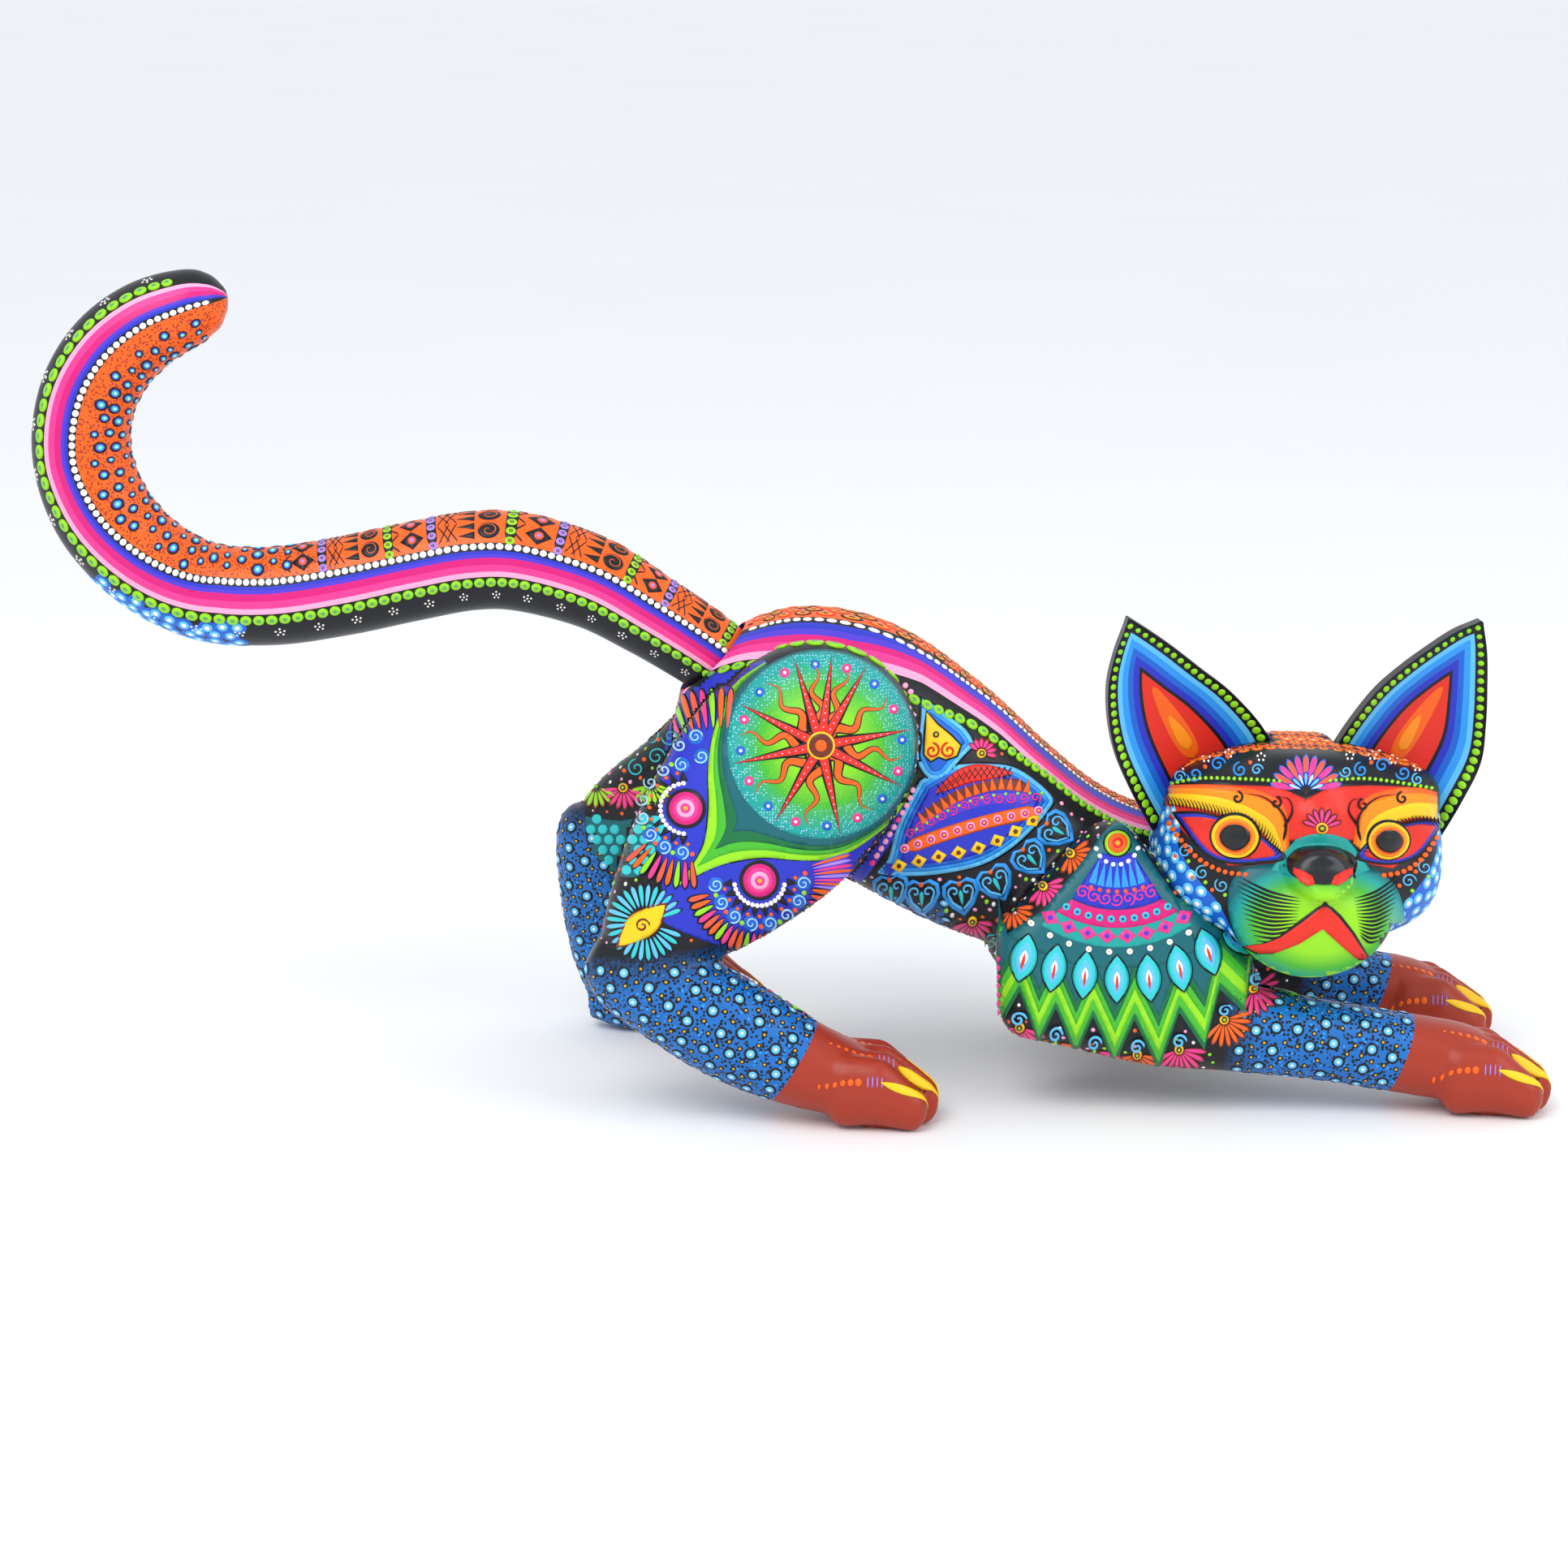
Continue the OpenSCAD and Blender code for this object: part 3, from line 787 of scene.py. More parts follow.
def floor_material():
    """A matt pale grey with a faint mottle."""
    material = new_material("floor")
    tree = material.node_tree
    place = add(tree, "TexCoord").outputs["Object"]
    mottle = add(tree, "TexNoise", None, Vector=place, Scale=3.0)
    tone = add(tree, "MapRange", None, Value=mottle.outputs[0], To_Min=0.9, To_Max=0.93)
    shader = tree.nodes["Principled BSDF"]
    tree.links.new(tone.outputs[0], shader.inputs["Base Color"])
    shader.inputs["Roughness"].default_value = 0.75
    return material


def wood_material():
    """Bare sanded wood for the pegs and dowels."""
    material = new_material("bare_wood")
    tree = material.node_tree
    place = add(tree, "TexCoord").outputs["Object"]
    grain = add(tree, "TexWave", {"bands_direction": "Y"}, Vector=place, Scale=220.0, Distortion=4.0,
                Detail=3.0)
    tone = add(tree, "ValToRGB", None, Fac=grain.outputs["Fac"])
    tone.color_ramp.elements[0].color = (0.42, 0.26, 0.13, 1)
    tone.color_ramp.elements[1].color = (0.66, 0.46, 0.26, 1)
    finish_material(material, tone.outputs["Color"], roughness=0.6, coat=0.0, bump=0.2)
    return material


# --- Raised paint -----------------------------------------------------------------------------------

# Millimetres: the height of a coat over the one below, of the first coat, and how deep its sides go.
LAYER = 0.085
PRIMER = 0.07
SUNK = 0.15
# How far an edge of a patch may stretch over the carving before its face is left out.
STRETCH = 5.0
STRETCH_SLACK = 1.2
RIGHT = np.array([1.0, 0, 0])
UP = np.array([0, math.sin(VIEW_ELEVATION), math.cos(VIEW_ELEVATION)])


class Target:
    """A carved piece that takes paint, and where it takes none."""

    def __init__(self, name, obj, carrier, slot, bare=None):
        self.name, self.obj, self.carrier, self.slot, self.bare = name, obj, carrier, slot, bare
        self.points = points_of(obj)
        flat = np.empty(len(obj.data.vertices) * 3)
        obj.data.vertex_normals.foreach_get("vector", flat)
        self.normals = flat.reshape(-1, 3)
        self.tree = BVHTree.FromPolygons(self.points.tolist(), [tuple(p.vertices) for p in obj.data.polygons])

    def hit(self, starts, ways):
        """Where lines meet the piece, and its normals there; a miss or a bare place is not a number."""
        places = np.full((len(ways), 3), np.nan)
        normals = np.zeros((len(ways), 3))
        for i, (start, way) in enumerate(zip(starts.tolist(), ways.tolist())):
            place, normal, _, _ = self.tree.ray_cast(start, way)
            if place is not None:
                places[i] = place
                normals[i] = normal
        if self.bare is not None:
            places[self.bare(places)] = np.nan
        return places, normals


class Sheet:
    """Places seen from the eye: millimetres right and up on a sheet through an origin."""

    def __init__(self, target, origin, mirrored=False):
        self.target, self.origin = target, np.array(origin, float)
        self.flip = np.array([1.0, -1.0 if mirrored else 1.0, 1.0])

    def throw(self, flat):
        plane = self.origin + flat[:, :1] * RIGHT + flat[:, 1:] * UP
        ways = unit(plane - EYE) * self.flip
        return self.target.hit(np.broadcast_to(EYE * self.flip, ways.shape), ways)


# How far out a wrapped place starts from, in radii of its tube.
OUTSIDE = 1.7


class Wrap:
    """Places on a tube: millimetres along its line, and round it from its side up to its top."""

    def __init__(self, target, line, radius, mirrored=False):
        self.target, self.line, self.radius = target, line, radius
        self.hand = 1.0 if mirrored else -1.0

    def round(self, degrees):
        return math.radians(degrees) * self.radius

    def throw(self, flat):
        place, side, up = self.line.at(flat[:, 0])
        angle = flat[:, 1:] / self.radius
        out = side * self.hand * np.cos(angle) + up * np.sin(angle)
        return self.target.hit(place + out * self.radius * OUTSIDE, -out)


class Plan:
    """Places on a level plane, seen from above or, with a lean, from above and one side."""

    def __init__(self, target, level, rise, lean=(0.0, 0.0)):
        self.target, self.level, self.rise = target, level, rise
        self.out = unit(np.array([*lean, 1.0]))

    def throw(self, flat):
        starts = np.column_stack([flat, np.full(len(flat), self.level)]) + self.out * self.rise
        return self.target.hit(starts, np.broadcast_to(-self.out, starts.shape))


# An across direction for spots, and how far out their lines start.
SPOT_GRAIN = (0.31, 0.87, 0.38)
SPOT_RISE = 3


class Spot:
    """A small flat sheet that touches a piece at one place."""

    def __init__(self, target, place, normal):
        self.target, self.place, self.normal = target, place, normal
        self.across = unit(np.cross(normal, SPOT_GRAIN))
        self.along = np.cross(normal, self.across)

    def throw(self, flat):
        starts = self.place + SPOT_RISE * self.normal + flat[:, :1] * self.across + flat[:, 1:] * self.along
        return self.target.hit(starts, np.broadcast_to(-self.normal, starts.shape))


COATS = {}


def lay(sheet, flat, faces, heights, tint, whole=True, shade=None):
    """Adds a patch of paint: its points are thrown onto the piece and lifted off it by their heights."""
    flat = np.asarray(flat, float)
    places, normals = sheet.throw(flat)
    missed = np.isnan(places[:, 0])
    if missed.all() or (whole and missed.any()):
        return
    kept = []
    for face in faces:
        ring = list(face[:4])
        after = ring[1:] + ring[:1]
        if missed[ring].any():
            continue
        reach = np.linalg.norm(places[ring] - places[after], axis=1)
        plain = np.linalg.norm(flat[ring] - flat[after], axis=1)
        if (reach > STRETCH * plain + STRETCH_SLACK).any():
            if whole:
                return
            continue
        kept.append(face)
    if not kept:
        return
    solid = places + normals * np.asarray(heights)[:, None]
    a, b, c = (solid[i] for i in kept[0][:3])
    if np.cross(b - a, c - a) @ normals[kept[0][0]] < 0:
        kept = [face[::-1] for face in kept]
    coat = COATS.setdefault((sheet.target.name, tint), {"points": [], "faces": [], "shade": [], "count": 0,
                                                        "target": sheet.target})
    used = sorted({i for face in kept for i in face})
    index = {i: coat["count"] + n for n, i in enumerate(used)}
    coat["points"].append(solid[used])
    coat["faces"] += [tuple(index[i] for i in face) for face in kept]
    coat["shade"].append(np.zeros(len(used)) if shade is None else np.asarray(shade)[used])
    coat["count"] += len(used)


def disc(sheet, at, radius, tint, layer=1, dome=0.16, aspect=1.0, degrees=0.0):
    """A drop of paint with a domed top; aspect stretches it along its heading."""
    sides = int(np.clip(7 + 3 * radius, 8, 32))
    angle = np.arange(sides) * 2 * math.pi / sides
    circle = np.column_stack([np.cos(angle) * aspect, np.sin(angle)]) * radius
    rings = max(int(radius / 1.1), 2)
    shares = [0.93 * (i + 1) / rings for i in range(rings)]
    flat = np.vstack([[[0, 0]], *[circle * share for share in shares], circle])
    base = PRIMER + layer * LAYER
    heights = [base + dome]
    for share in shares:
        heights += [base + dome * (1 - share ** 2)] * sides
    heights += [-SUNK] * sides
    faces = [(0, 1 + i, 1 + (i + 1) % sides) for i in range(sides)]
    for ring in range(rings):
        for i in range(sides):
            a, b = 1 + ring * sides + i, 1 + ring * sides + (i + 1) % sides
            faces.append((a, a + sides, b + sides, b))
    faces.append(tuple(1 + rings * sides + i for i in reversed(range(sides))))
    lay(sheet, turned(flat, at, degrees), faces, heights, tint)


def drops(sheet, at, radius, tints, layer=1, shares=(1, 0.66, 0.3), **form):
    """Round drops on each other, the widest first."""
    for i, tint in enumerate(tints):
        disc(sheet, at, radius * shares[i], tint, layer + i, **form)


def turned(points, at=(0, 0), degrees=0.0, size=1.0):
    """Turns points about the origin, scales them and moves them to a place."""
    c, s = math.cos(math.radians(degrees)) * size, math.sin(math.radians(degrees)) * size
    return np.asarray(points, float) @ np.array([[c, s], [-s, c]]) + np.asarray(at, float)


def spaced(points, gap):
    """Even places along a line of points."""
    points = np.asarray(points, float)
    run = np.concatenate([[0], np.cumsum(np.linalg.norm(np.diff(points, axis=0), axis=1))])
    count = max(int(round(run[-1] / gap)), 1)
    at = np.linspace(0, run[-1], count + 1)
    return np.column_stack([np.interp(at, run, points[:, i]) for i in range(2)])


def curve(*points, steps=8):
    """A smooth line through a few places."""
    return smooth(points, steps)


# Width of a brush stroke against the share of its length.
PROFILES = {
    "line": lambda t: np.minimum(1, np.sqrt(np.clip(np.minimum(t, 1 - t) * 14, 0, 1))),
    "leaf": lambda t: np.sin(math.pi * t) ** 0.8,
    "drop": lambda t: np.sqrt(np.clip(t * (1 - t ** 5), 0, 1)),
    "taper": lambda t: (1 - t) ** 0.8 * np.sqrt(np.clip(t * 12, 0, 1)),
    "ray": lambda t: 1 - t}


def stroke(sheet, points, width, tint, layer=1, profile="line", crown=0.1, step=0.9):
    """One brush stroke along a line of points, with its width drawn by the profile."""
    line = spaced(points, step)
    if len(line) < 4:
        line = spaced(points, np.linalg.norm(np.diff(np.asarray(points, float), axis=0), axis=1).sum() / 4)
    heading = np.gradient(line, axis=0)
    heading /= np.maximum(np.linalg.norm(heading, axis=1, keepdims=True), 1e-9)
    normal = np.column_stack([-heading[:, 1], heading[:, 0]])
    half = np.maximum(width / 2 * PROFILES[profile](np.linspace(0, 1, len(line))), 0.02)[:, None]
    shares = (-1, 0, 1) if width < 1.3 else (-1, -0.7, 0, 0.7, 1)
    base = PRIMER + layer * LAYER
    low = -SUNK if layer < 3 else base - 2 * LAYER
    lift = {3: (low, base + crown, low), 5: (low, base, base + crown, base, low)}[len(shares)]
    flat = np.concatenate([line[:, None] + normal[:, None] * (half * share)[:, None] for share in shares], 1)
    wide = len(shares)
    faces = []
    for i in range(len(line) - 1):
        for j in range(wide - 1):
            a = i * wide + j
            faces.append((a, a + wide, a + wide + 1, a + 1))
        faces.append((i * wide + wide - 1, (i + 1) * wide + wide - 1, (i + 1) * wide, i * wide))
    faces.append(tuple(range(wide)))
    faces.append(tuple((len(line) - 1) * wide + j for j in reversed(range(wide))))
    lay(sheet, flat.reshape(-1, 2), faces, np.tile(lift, len(line)), tint, whole=False)


def inside(points, outline):
    """Which points are in a polygon."""
    x, y = points.T
    odd = np.zeros(len(points), bool)
    for (ax, ay), (bx, by) in zip(outline, np.roll(outline, -1, axis=0)):
        if ay != by:
            odd ^= ((ay > y) != (by > y)) & (x < (bx - ax) * (y - ay) / (by - ay) + ax)
    return odd


def fill(sheet, outline, tint, layer=1, cell=1.7, shade=None):
    """A patch of paint with this outline, as a thin skin that follows the carving."""
    outline = np.asarray(outline, float)
    edge = np.vstack([spaced([a, b], cell)[:-1] for a, b in zip(outline, np.roll(outline, -1, axis=0))])
    low, high = edge.min(0), edge.max(0)
    rows = np.stack(np.meshgrid(*(np.arange(low[i] + cell / 2, high[i], cell) for i in range(2))), -1)
    grid = rows.reshape(-1, 2)
    if len(grid):
        grid = grid[inside(grid, edge)]
    if len(grid):
        grid = grid[np.linalg.norm(grid[:, None] - edge[None], axis=-1).min(1) > 0.45 * cell]
    flat = [Vector(p) for p in np.vstack([edge, grid]).tolist()]
    flat, _, faces, *_ = delaunay_2d_cdt(flat, [], [list(range(len(edge)))], 1, 1e-5)
    flat = np.array([tuple(p) for p in flat])
    faces = [tuple(f) for f in faces]
    count = len(flat)
    links = {(a, b) for face in faces for a, b in zip(face, face[1:] + face[:1])}
    sides = [(a, b, b + count, a + count) for a, b in links if (b, a) not in links]
    under = [tuple(i + count for i in reversed(face)) for face in faces]
    heights = [PRIMER + layer * LAYER] * count + [-SUNK] * count
    shades = None if shade is None else np.tile(shade(flat), 2)
    walls = [side[::-1] for side in sides]
    lay(sheet, np.vstack([flat, flat]), faces + under + walls, heights, tint, whole=False, shade=shades)


def inset(outline, distance):
    """An outline moved inward, from its own edges."""
    outline = np.asarray(outline, float)
    ahead = np.roll(outline, -1, axis=0) - outline
    turn = np.cross(ahead, np.roll(ahead, -1, axis=0)).sum()
    way = unit(np.roll(outline, -1, axis=0) - np.roll(outline, 1, axis=0))
    return outline + np.column_stack([-way[:, 1], way[:, 0]]) * distance * (1 if turn > 0 else -1)


def ring_of(radius, count, low=0.0, high=360.0, at=(0, 0)):
    """Places on a circle, with their bearings in degrees."""
    full = abs(high - low) >= 360
    bearings = low + (high - low) * np.arange(count) / (count if full else max(count - 1, 1))
    turn = np.radians(bearings)
    return np.column_stack([np.cos(turn), np.sin(turn)]) * radius + np.asarray(at, float), bearings


def spiral(sheet, at, radius, tint, width=0.8, turns=1.6, start=0.0, hand=1, layer=1):
    """A curled stroke that ends at a bearing in degrees; hand -1 winds it the other way."""
    t = np.linspace(0.06, 1, 40)
    angle = math.radians(start) + hand * turns * 2 * math.pi * (1 - t)
    points = np.column_stack([np.cos(angle), np.sin(angle)]) * (radius * t)[:, None]
    stroke(sheet, points + np.asarray(at, float), width, tint, layer, step=0.5 * max(radius / 3, 0.7))


def curls(sheet, places, radius, tint, width, layer, beads=()):
    """Spirals at (x, y, start), each with the same beads at (right, up, radius, colour) from it."""
    for x, y, start in places:
        spiral(sheet, (x, y), radius, tint, width, start=start, layer=layer)
        for right, up, size, bead in beads:
            disc(sheet, (x + right, y + up), size, bead, layer)


def fan(sheet, at, inner, outer, low, high, count, tints, width, layer, edge):
    """Petals set round a place between two bearings, each over a wider stroke of the edge's colour."""
    _, bearings = ring_of(1, count, low, high)
    for i, bearing in enumerate(bearings):
        way = turned([[inner, 0], [outer, 0]], at, bearing)
        longer = turned([[inner - 0.3, 0], [outer + 0.7, 0]], at, bearing)
        stroke(sheet, longer, width + 0.9, edge, layer - 1, "drop")
        stroke(sheet, way, width, tints[i % len(tints)], layer, "drop")


def spots(target, chosen):
    """Small sheets at some points of a mesh."""
    return [Spot(target, target.points[i], target.normals[i]) for i in chosen]


def scatter(target, mask, gap, seed, taken=()):
    """Random points of a mesh at least gap apart, and clear of the ones taken before."""
    rng = random.Random(seed)
    chosen = np.flatnonzero(mask).tolist()
    rng.shuffle(chosen)
    cells = {}

    def cell_of(place):
        return tuple(int(v // gap) for v in place)

    for place in taken:
        cells.setdefault(cell_of(place), []).append(place)
    found = []
    for i in chosen:
        place = target.points[i].tolist()
        x, y, z = cell_of(place)
        near = (cells.get((x + a, y + b, z + c), ()) for a, b, c in product((-1, 0, 1), repeat=3))
        if any(math.dist(place, other) < gap for group in near for other in group):
            continue
        cells.setdefault((x, y, z), []).append(place)
        found.append(i)
    return found


# --- Motifs -----------------------------------------------------------------------------------------

# Middles of the painted motifs on the cat's right side; the left side mirrors them.
HAUNCH_AT = (13, -65, 139.5)
FLANK_AT = (62.7, -34, 114)
CAPE_AT = (119.7, -41.9, 103)
FACE_AT = (192.2, -59.6, 104.7)


def oval_rows(wrap, runs, degrees_at, gap):
    """Lime ovals with sage middles in a row along a tube."""
    for run in np.arange(*runs, gap):
        at = (run, wrap.round(degrees_at(run)))
        disc(wrap, at, 1.75, "lime", 9, aspect=1.2)
        disc(wrap, at, 1.1, "sage", 10, dome=0.08, aspect=1.25)


def back_bands(wrap, mirrored):
    """The drops that edge the striped bands over the back."""

    def degrees(run, share):
        """Degrees round the torso at a share of the way from its top to the bands' end."""
        x = np.interp(run, TORSO_LINE.run, TORSO_LINE.place[:, 0])
        return 90 - share * (90 - band_end(x))

    ends = (8, 222)
    oval_rows(wrap, ends, lambda run: degrees(run, 0.92), 4.4)
    for run in np.arange(*ends, 2.7):
        disc(wrap, (run, wrap.round(degrees(run, 0.31))), 1.15, "white", 1)
    if mirrored:
        return
    for i, run in enumerate(np.arange(16, 205, 5.2)):
        for j, share in enumerate((-0.16, -0.05, 0.06, 0.17)):
            at = (run + 2.6 * (j % 2), wrap.round(degrees(run, share)))
            disc(wrap, at, 2.3, "red" if (i + j) % 2 else "black", 1, dome=0.05)
            disc(wrap, at, 1.7, "amber", 2, dome=0.05)
            disc(wrap, at, 0.7, "brown", 3, dome=0.05)


def sun(sheet):
    """A round green medallion with an 18-rayed sun."""
    rim, _ = ring_of(32.8, 72)
    fill(sheet, rim, "medallion", 6, shade=lambda flat: np.linalg.norm(flat, axis=1) / 33)
    straight = (107, 83, 60, 10, -27, -78, -121, -168, 153)
    for i, bearing in enumerate(straight):
        after = straight[(i + 1) % len(straight)]
        gap = (bearing - after) % 360
        sway = np.linspace(0, 1, 26)
        wavy = np.column_stack([4 + 25 * sway, 2.3 * np.sin(sway * 4.2 * math.pi) * (1 - 0.4 * sway)])
        wavy = turned(wavy, degrees=bearing - gap / 2)
        stroke(sheet, wavy, 5.6, "black", 7, "ray", crown=0.02)
        stroke(sheet, wavy, 4.0, "orange", 8, "ray", crown=0.05)
    for bearing in straight:
        ray = turned([[3, 0], [31.5, 0]], degrees=bearing)
        stroke(sheet, ray, 5.4, "black", 9, "ray", crown=0.02)
        stroke(sheet, ray, 3.8, "red", 10, "ray", crown=0.05)
        for reach in np.arange(6.5, 24, 2.4):
            disc(sheet, turned([[reach, 0]], degrees=bearing)[0], 0.34, "light_pink", 11, dome=0.06)
    drops(sheet, (0, 0), 5.2, ("yellow", "brown", "orange"), 11, (1, 0.86, 0.42), dome=0.1)
    spots, bearings = ring_of(28.2, 16, 4, 364)
    for i, spot in enumerate(spots):
        drops(sheet, spot, 1.8, ("hot_pink" if i % 2 else "blue", "white"), 7, (1, 0.42))


# Edge of the haunch's green leaf, from above the medallion round to its front.
LEAF_EDGE = [(-19.5, 29.4), (-31.5, 20.5), (-37.8, 5.1), (-40, -8.6), (-40, -22.3), (-42, -35.5),
             (-52, -50.9), (-41.2, -45.2), (-32, -41.8), (-20.6, -40), (-9, -40.8), (1, -40.6), (9.2, -38.3),
             (19.4, -31.5), (27.5, -23.5), (33.8, -10)]


def green_leaf(sheet):
    """Nested green bands between the leaf's edge and the medallion."""
    edge = np.vstack([curve(*LEAF_EDGE[:6], (-47.5, -45), steps=4), [LEAF_EDGE[6]],
                      curve((-47, -48.4), *LEAF_EDGE[7:], steps=4)])
    over, _ = ring_of(33.6, 30, -14, 126)
    rings = unit(edge) * 33.4
    for layer, (share, tint) in enumerate(((0, "black"), (0.05, "lime"), (0.3, "green"), (0.52, "dark_green"),
                                           (0.74, "dark_teal"))):
        fill(sheet, np.vstack([edge * (1 - share) + rings * share, over]), tint, 1 + layer, cell=1.5)


def ringed_curl(sheet, at, start):
    """A pale spiral on a blue drop."""
    disc(sheet, at, 2.9, "blue", 4, dome=0.04)
    spiral(sheet, at, 2.5, "pale_blue", 0.8, start=start, layer=5)


def peacock_eye(sheet, at, low, high, dots_low, dots_high):
    """A ringed eye with white drops, spikes, and an arc of spirals and petals between two bearings."""
    rings = ((7.4, "black"), (6.2, "magenta"), (4.8, "hot_pink"), (3.4, "light_pink"), (1.9, "hot_pink"),
             (0.9, "gold"))
    for i, (radius, tint) in enumerate(rings):
        disc(sheet, at, radius, tint, 4 + i, dome=0.06)
    for spot in ring_of(8.9, 16, dots_low, dots_high, at)[0]:
        disc(sheet, spot, 0.85, "white", 5)
    count = max(int(abs(high - low) / 17), 3)
    for spot, bearing in zip(*ring_of(10.9, count, low, high, at)):
        base = turned([[-1.2, 0], [2.8, 0]], spot, bearing)
        stroke(sheet, base, 3.0, "black", 4, "ray")
        disc(sheet, turned([[1.6, 1.8]], spot, bearing)[0], 0.7, "orange", 5)
    for i, (spot, bearing) in enumerate(zip(*ring_of(15.4, max(count - 2, 3), low, high, at))):
        ringed_curl(sheet, spot, bearing)
        disc(sheet, turned([[0.4, 3.6]], spot, bearing)[0], 0.9, ("lime", "coral")[i % 2], 5)


def haunch(sheet):
    """The haunch: a violet ground with fans and two eyes, the nested leaf and the sun medallion."""
    violet = curve((-20, 30), (-33, 26), (-45, 24), (-53, 8), (-56, -10), (-57, -30), (-56, -52), (-58, -60),
                   (-48, -66), (-32, -71), (-15, -69), (0, -61), (12, -51), (22, -38), (30, -24), (20, -10),
                   steps=4)
    fill(sheet, violet, "royal", 1, cell=1.3)
    petals = ("coral", "orange", "lime", "hot_pink")
    fan(sheet, (-36, -24), 30, 44, 84, 116, 8, petals, 2.9, 5, "black")
    for x, y, start in ((-44, 3, 0), (-49.5, 0, 120), (-42, -4, 200)):
        ringed_curl(sheet, (x, y), start)
    fan(sheet, (-47.5, -22.3), 18.4, 28, 222, 276, 9, petals, 2.7, 5, "black")
    fan(sheet, (-21.7, -47.5), 18.4, 26, 196, 350, 26, petals, 2.8, 5, "black")
    fan(sheet, (-21.7, -47.5), 19, 33, -9, 16, 9, ("hot_pink", "lavender", "orange"), 1.8, 4, "violet")
    peacock_eye(sheet, (-47.5, -22.3), 95, 265, 95, 265)
    peacock_eye(sheet, (-21.7, -47.5), 186, 356, 190, 350)
    fan(sheet, (-62, -62.5), 5.5, 13.5, 20, 340, 26, ("turquoise", "light_blue"), 2.4, 3, "black")
    for layer, (size, tint) in enumerate(((1.12, "brown"), (1, "yellow"))):
        stroke(sheet, turned([[7.5, 7.2], [1.5, 1.5], [-2.5, -1], [-8.5, -7.2]], (-62.4, -63.4), 0, size),
               9.5 * size, tint, 4 + layer, "leaf")
    spiral(sheet, (-62.8, -63.5), 2.6, "brown", 0.8, layer=7)
    row = curve((27.5, 22.9), (32, 17.7), (33.7, 10.9), (34.1, 2.9), (33.6, -6), (31.8, -17), (25.4, -29.2),
                (18.3, -41))
    for i, spot in enumerate(spaced(row, 2.9)):
        disc(sheet, spot, 1.05, "light_pink" if i % 6 else "hot_pink", 9)
    green_leaf(sheet)
    sun(sheet)


def heart(sheet, at, degrees):
    """A heart of two spirals over a pointed drop."""
    outline = [(0, 3.2), (2.6, 4.4), (5.2, 3), (5.6, 0), (3.6, -3.8), (0, -7), (-3.6, -3.8), (-5.6, 0),
               (-5.2, 3), (-2.6, 4.4)]
    fill(sheet, turned(outline, at, degrees, 1.2), "sky", 3)
    fill(sheet, turned(outline, at, degrees, 0.96), "black", 4)
    for hand in (-1, 1):
        spiral(sheet, turned([[hand * 2.4, 0.7]], at, degrees)[0], 2.4, "light_blue", 0.85, 1.25,
               degrees - 90 + 30 * hand, hand, 6)
        edge = turned([[hand * 4.6, 0.4], [hand * 3.4, -3], [0, -6]], at, degrees)
        stroke(sheet, edge, 1.0, "light_blue", 6)
    stroke(sheet, turned([[0, -4.2], [0, 1.2]], at, degrees), 2.2, "turquoise", 6, "drop")
    disc(sheet, turned([[0, 3.4]], at, degrees)[0], 0.85, "orange", 6)


def shell(sheet, at, degrees, tint, reach=7.4, petals=8):
    """A little shell of petals under a ringed drop."""
    fan(sheet, at, 1.8, reach, degrees - 75, degrees + 75, petals, (tint,), 2.1, 4, "brown")
    drops(sheet, at, 1.7, ("yellow", "brown", "lime"), 6, (1, 0.7, 0.35))


def row_angles(points):
    """Bearings in degrees of a row of places, along the row."""
    heading = np.gradient(np.asarray(points, float), axis=0)
    return np.degrees(np.arctan2(heading[:, 1], heading[:, 0]))


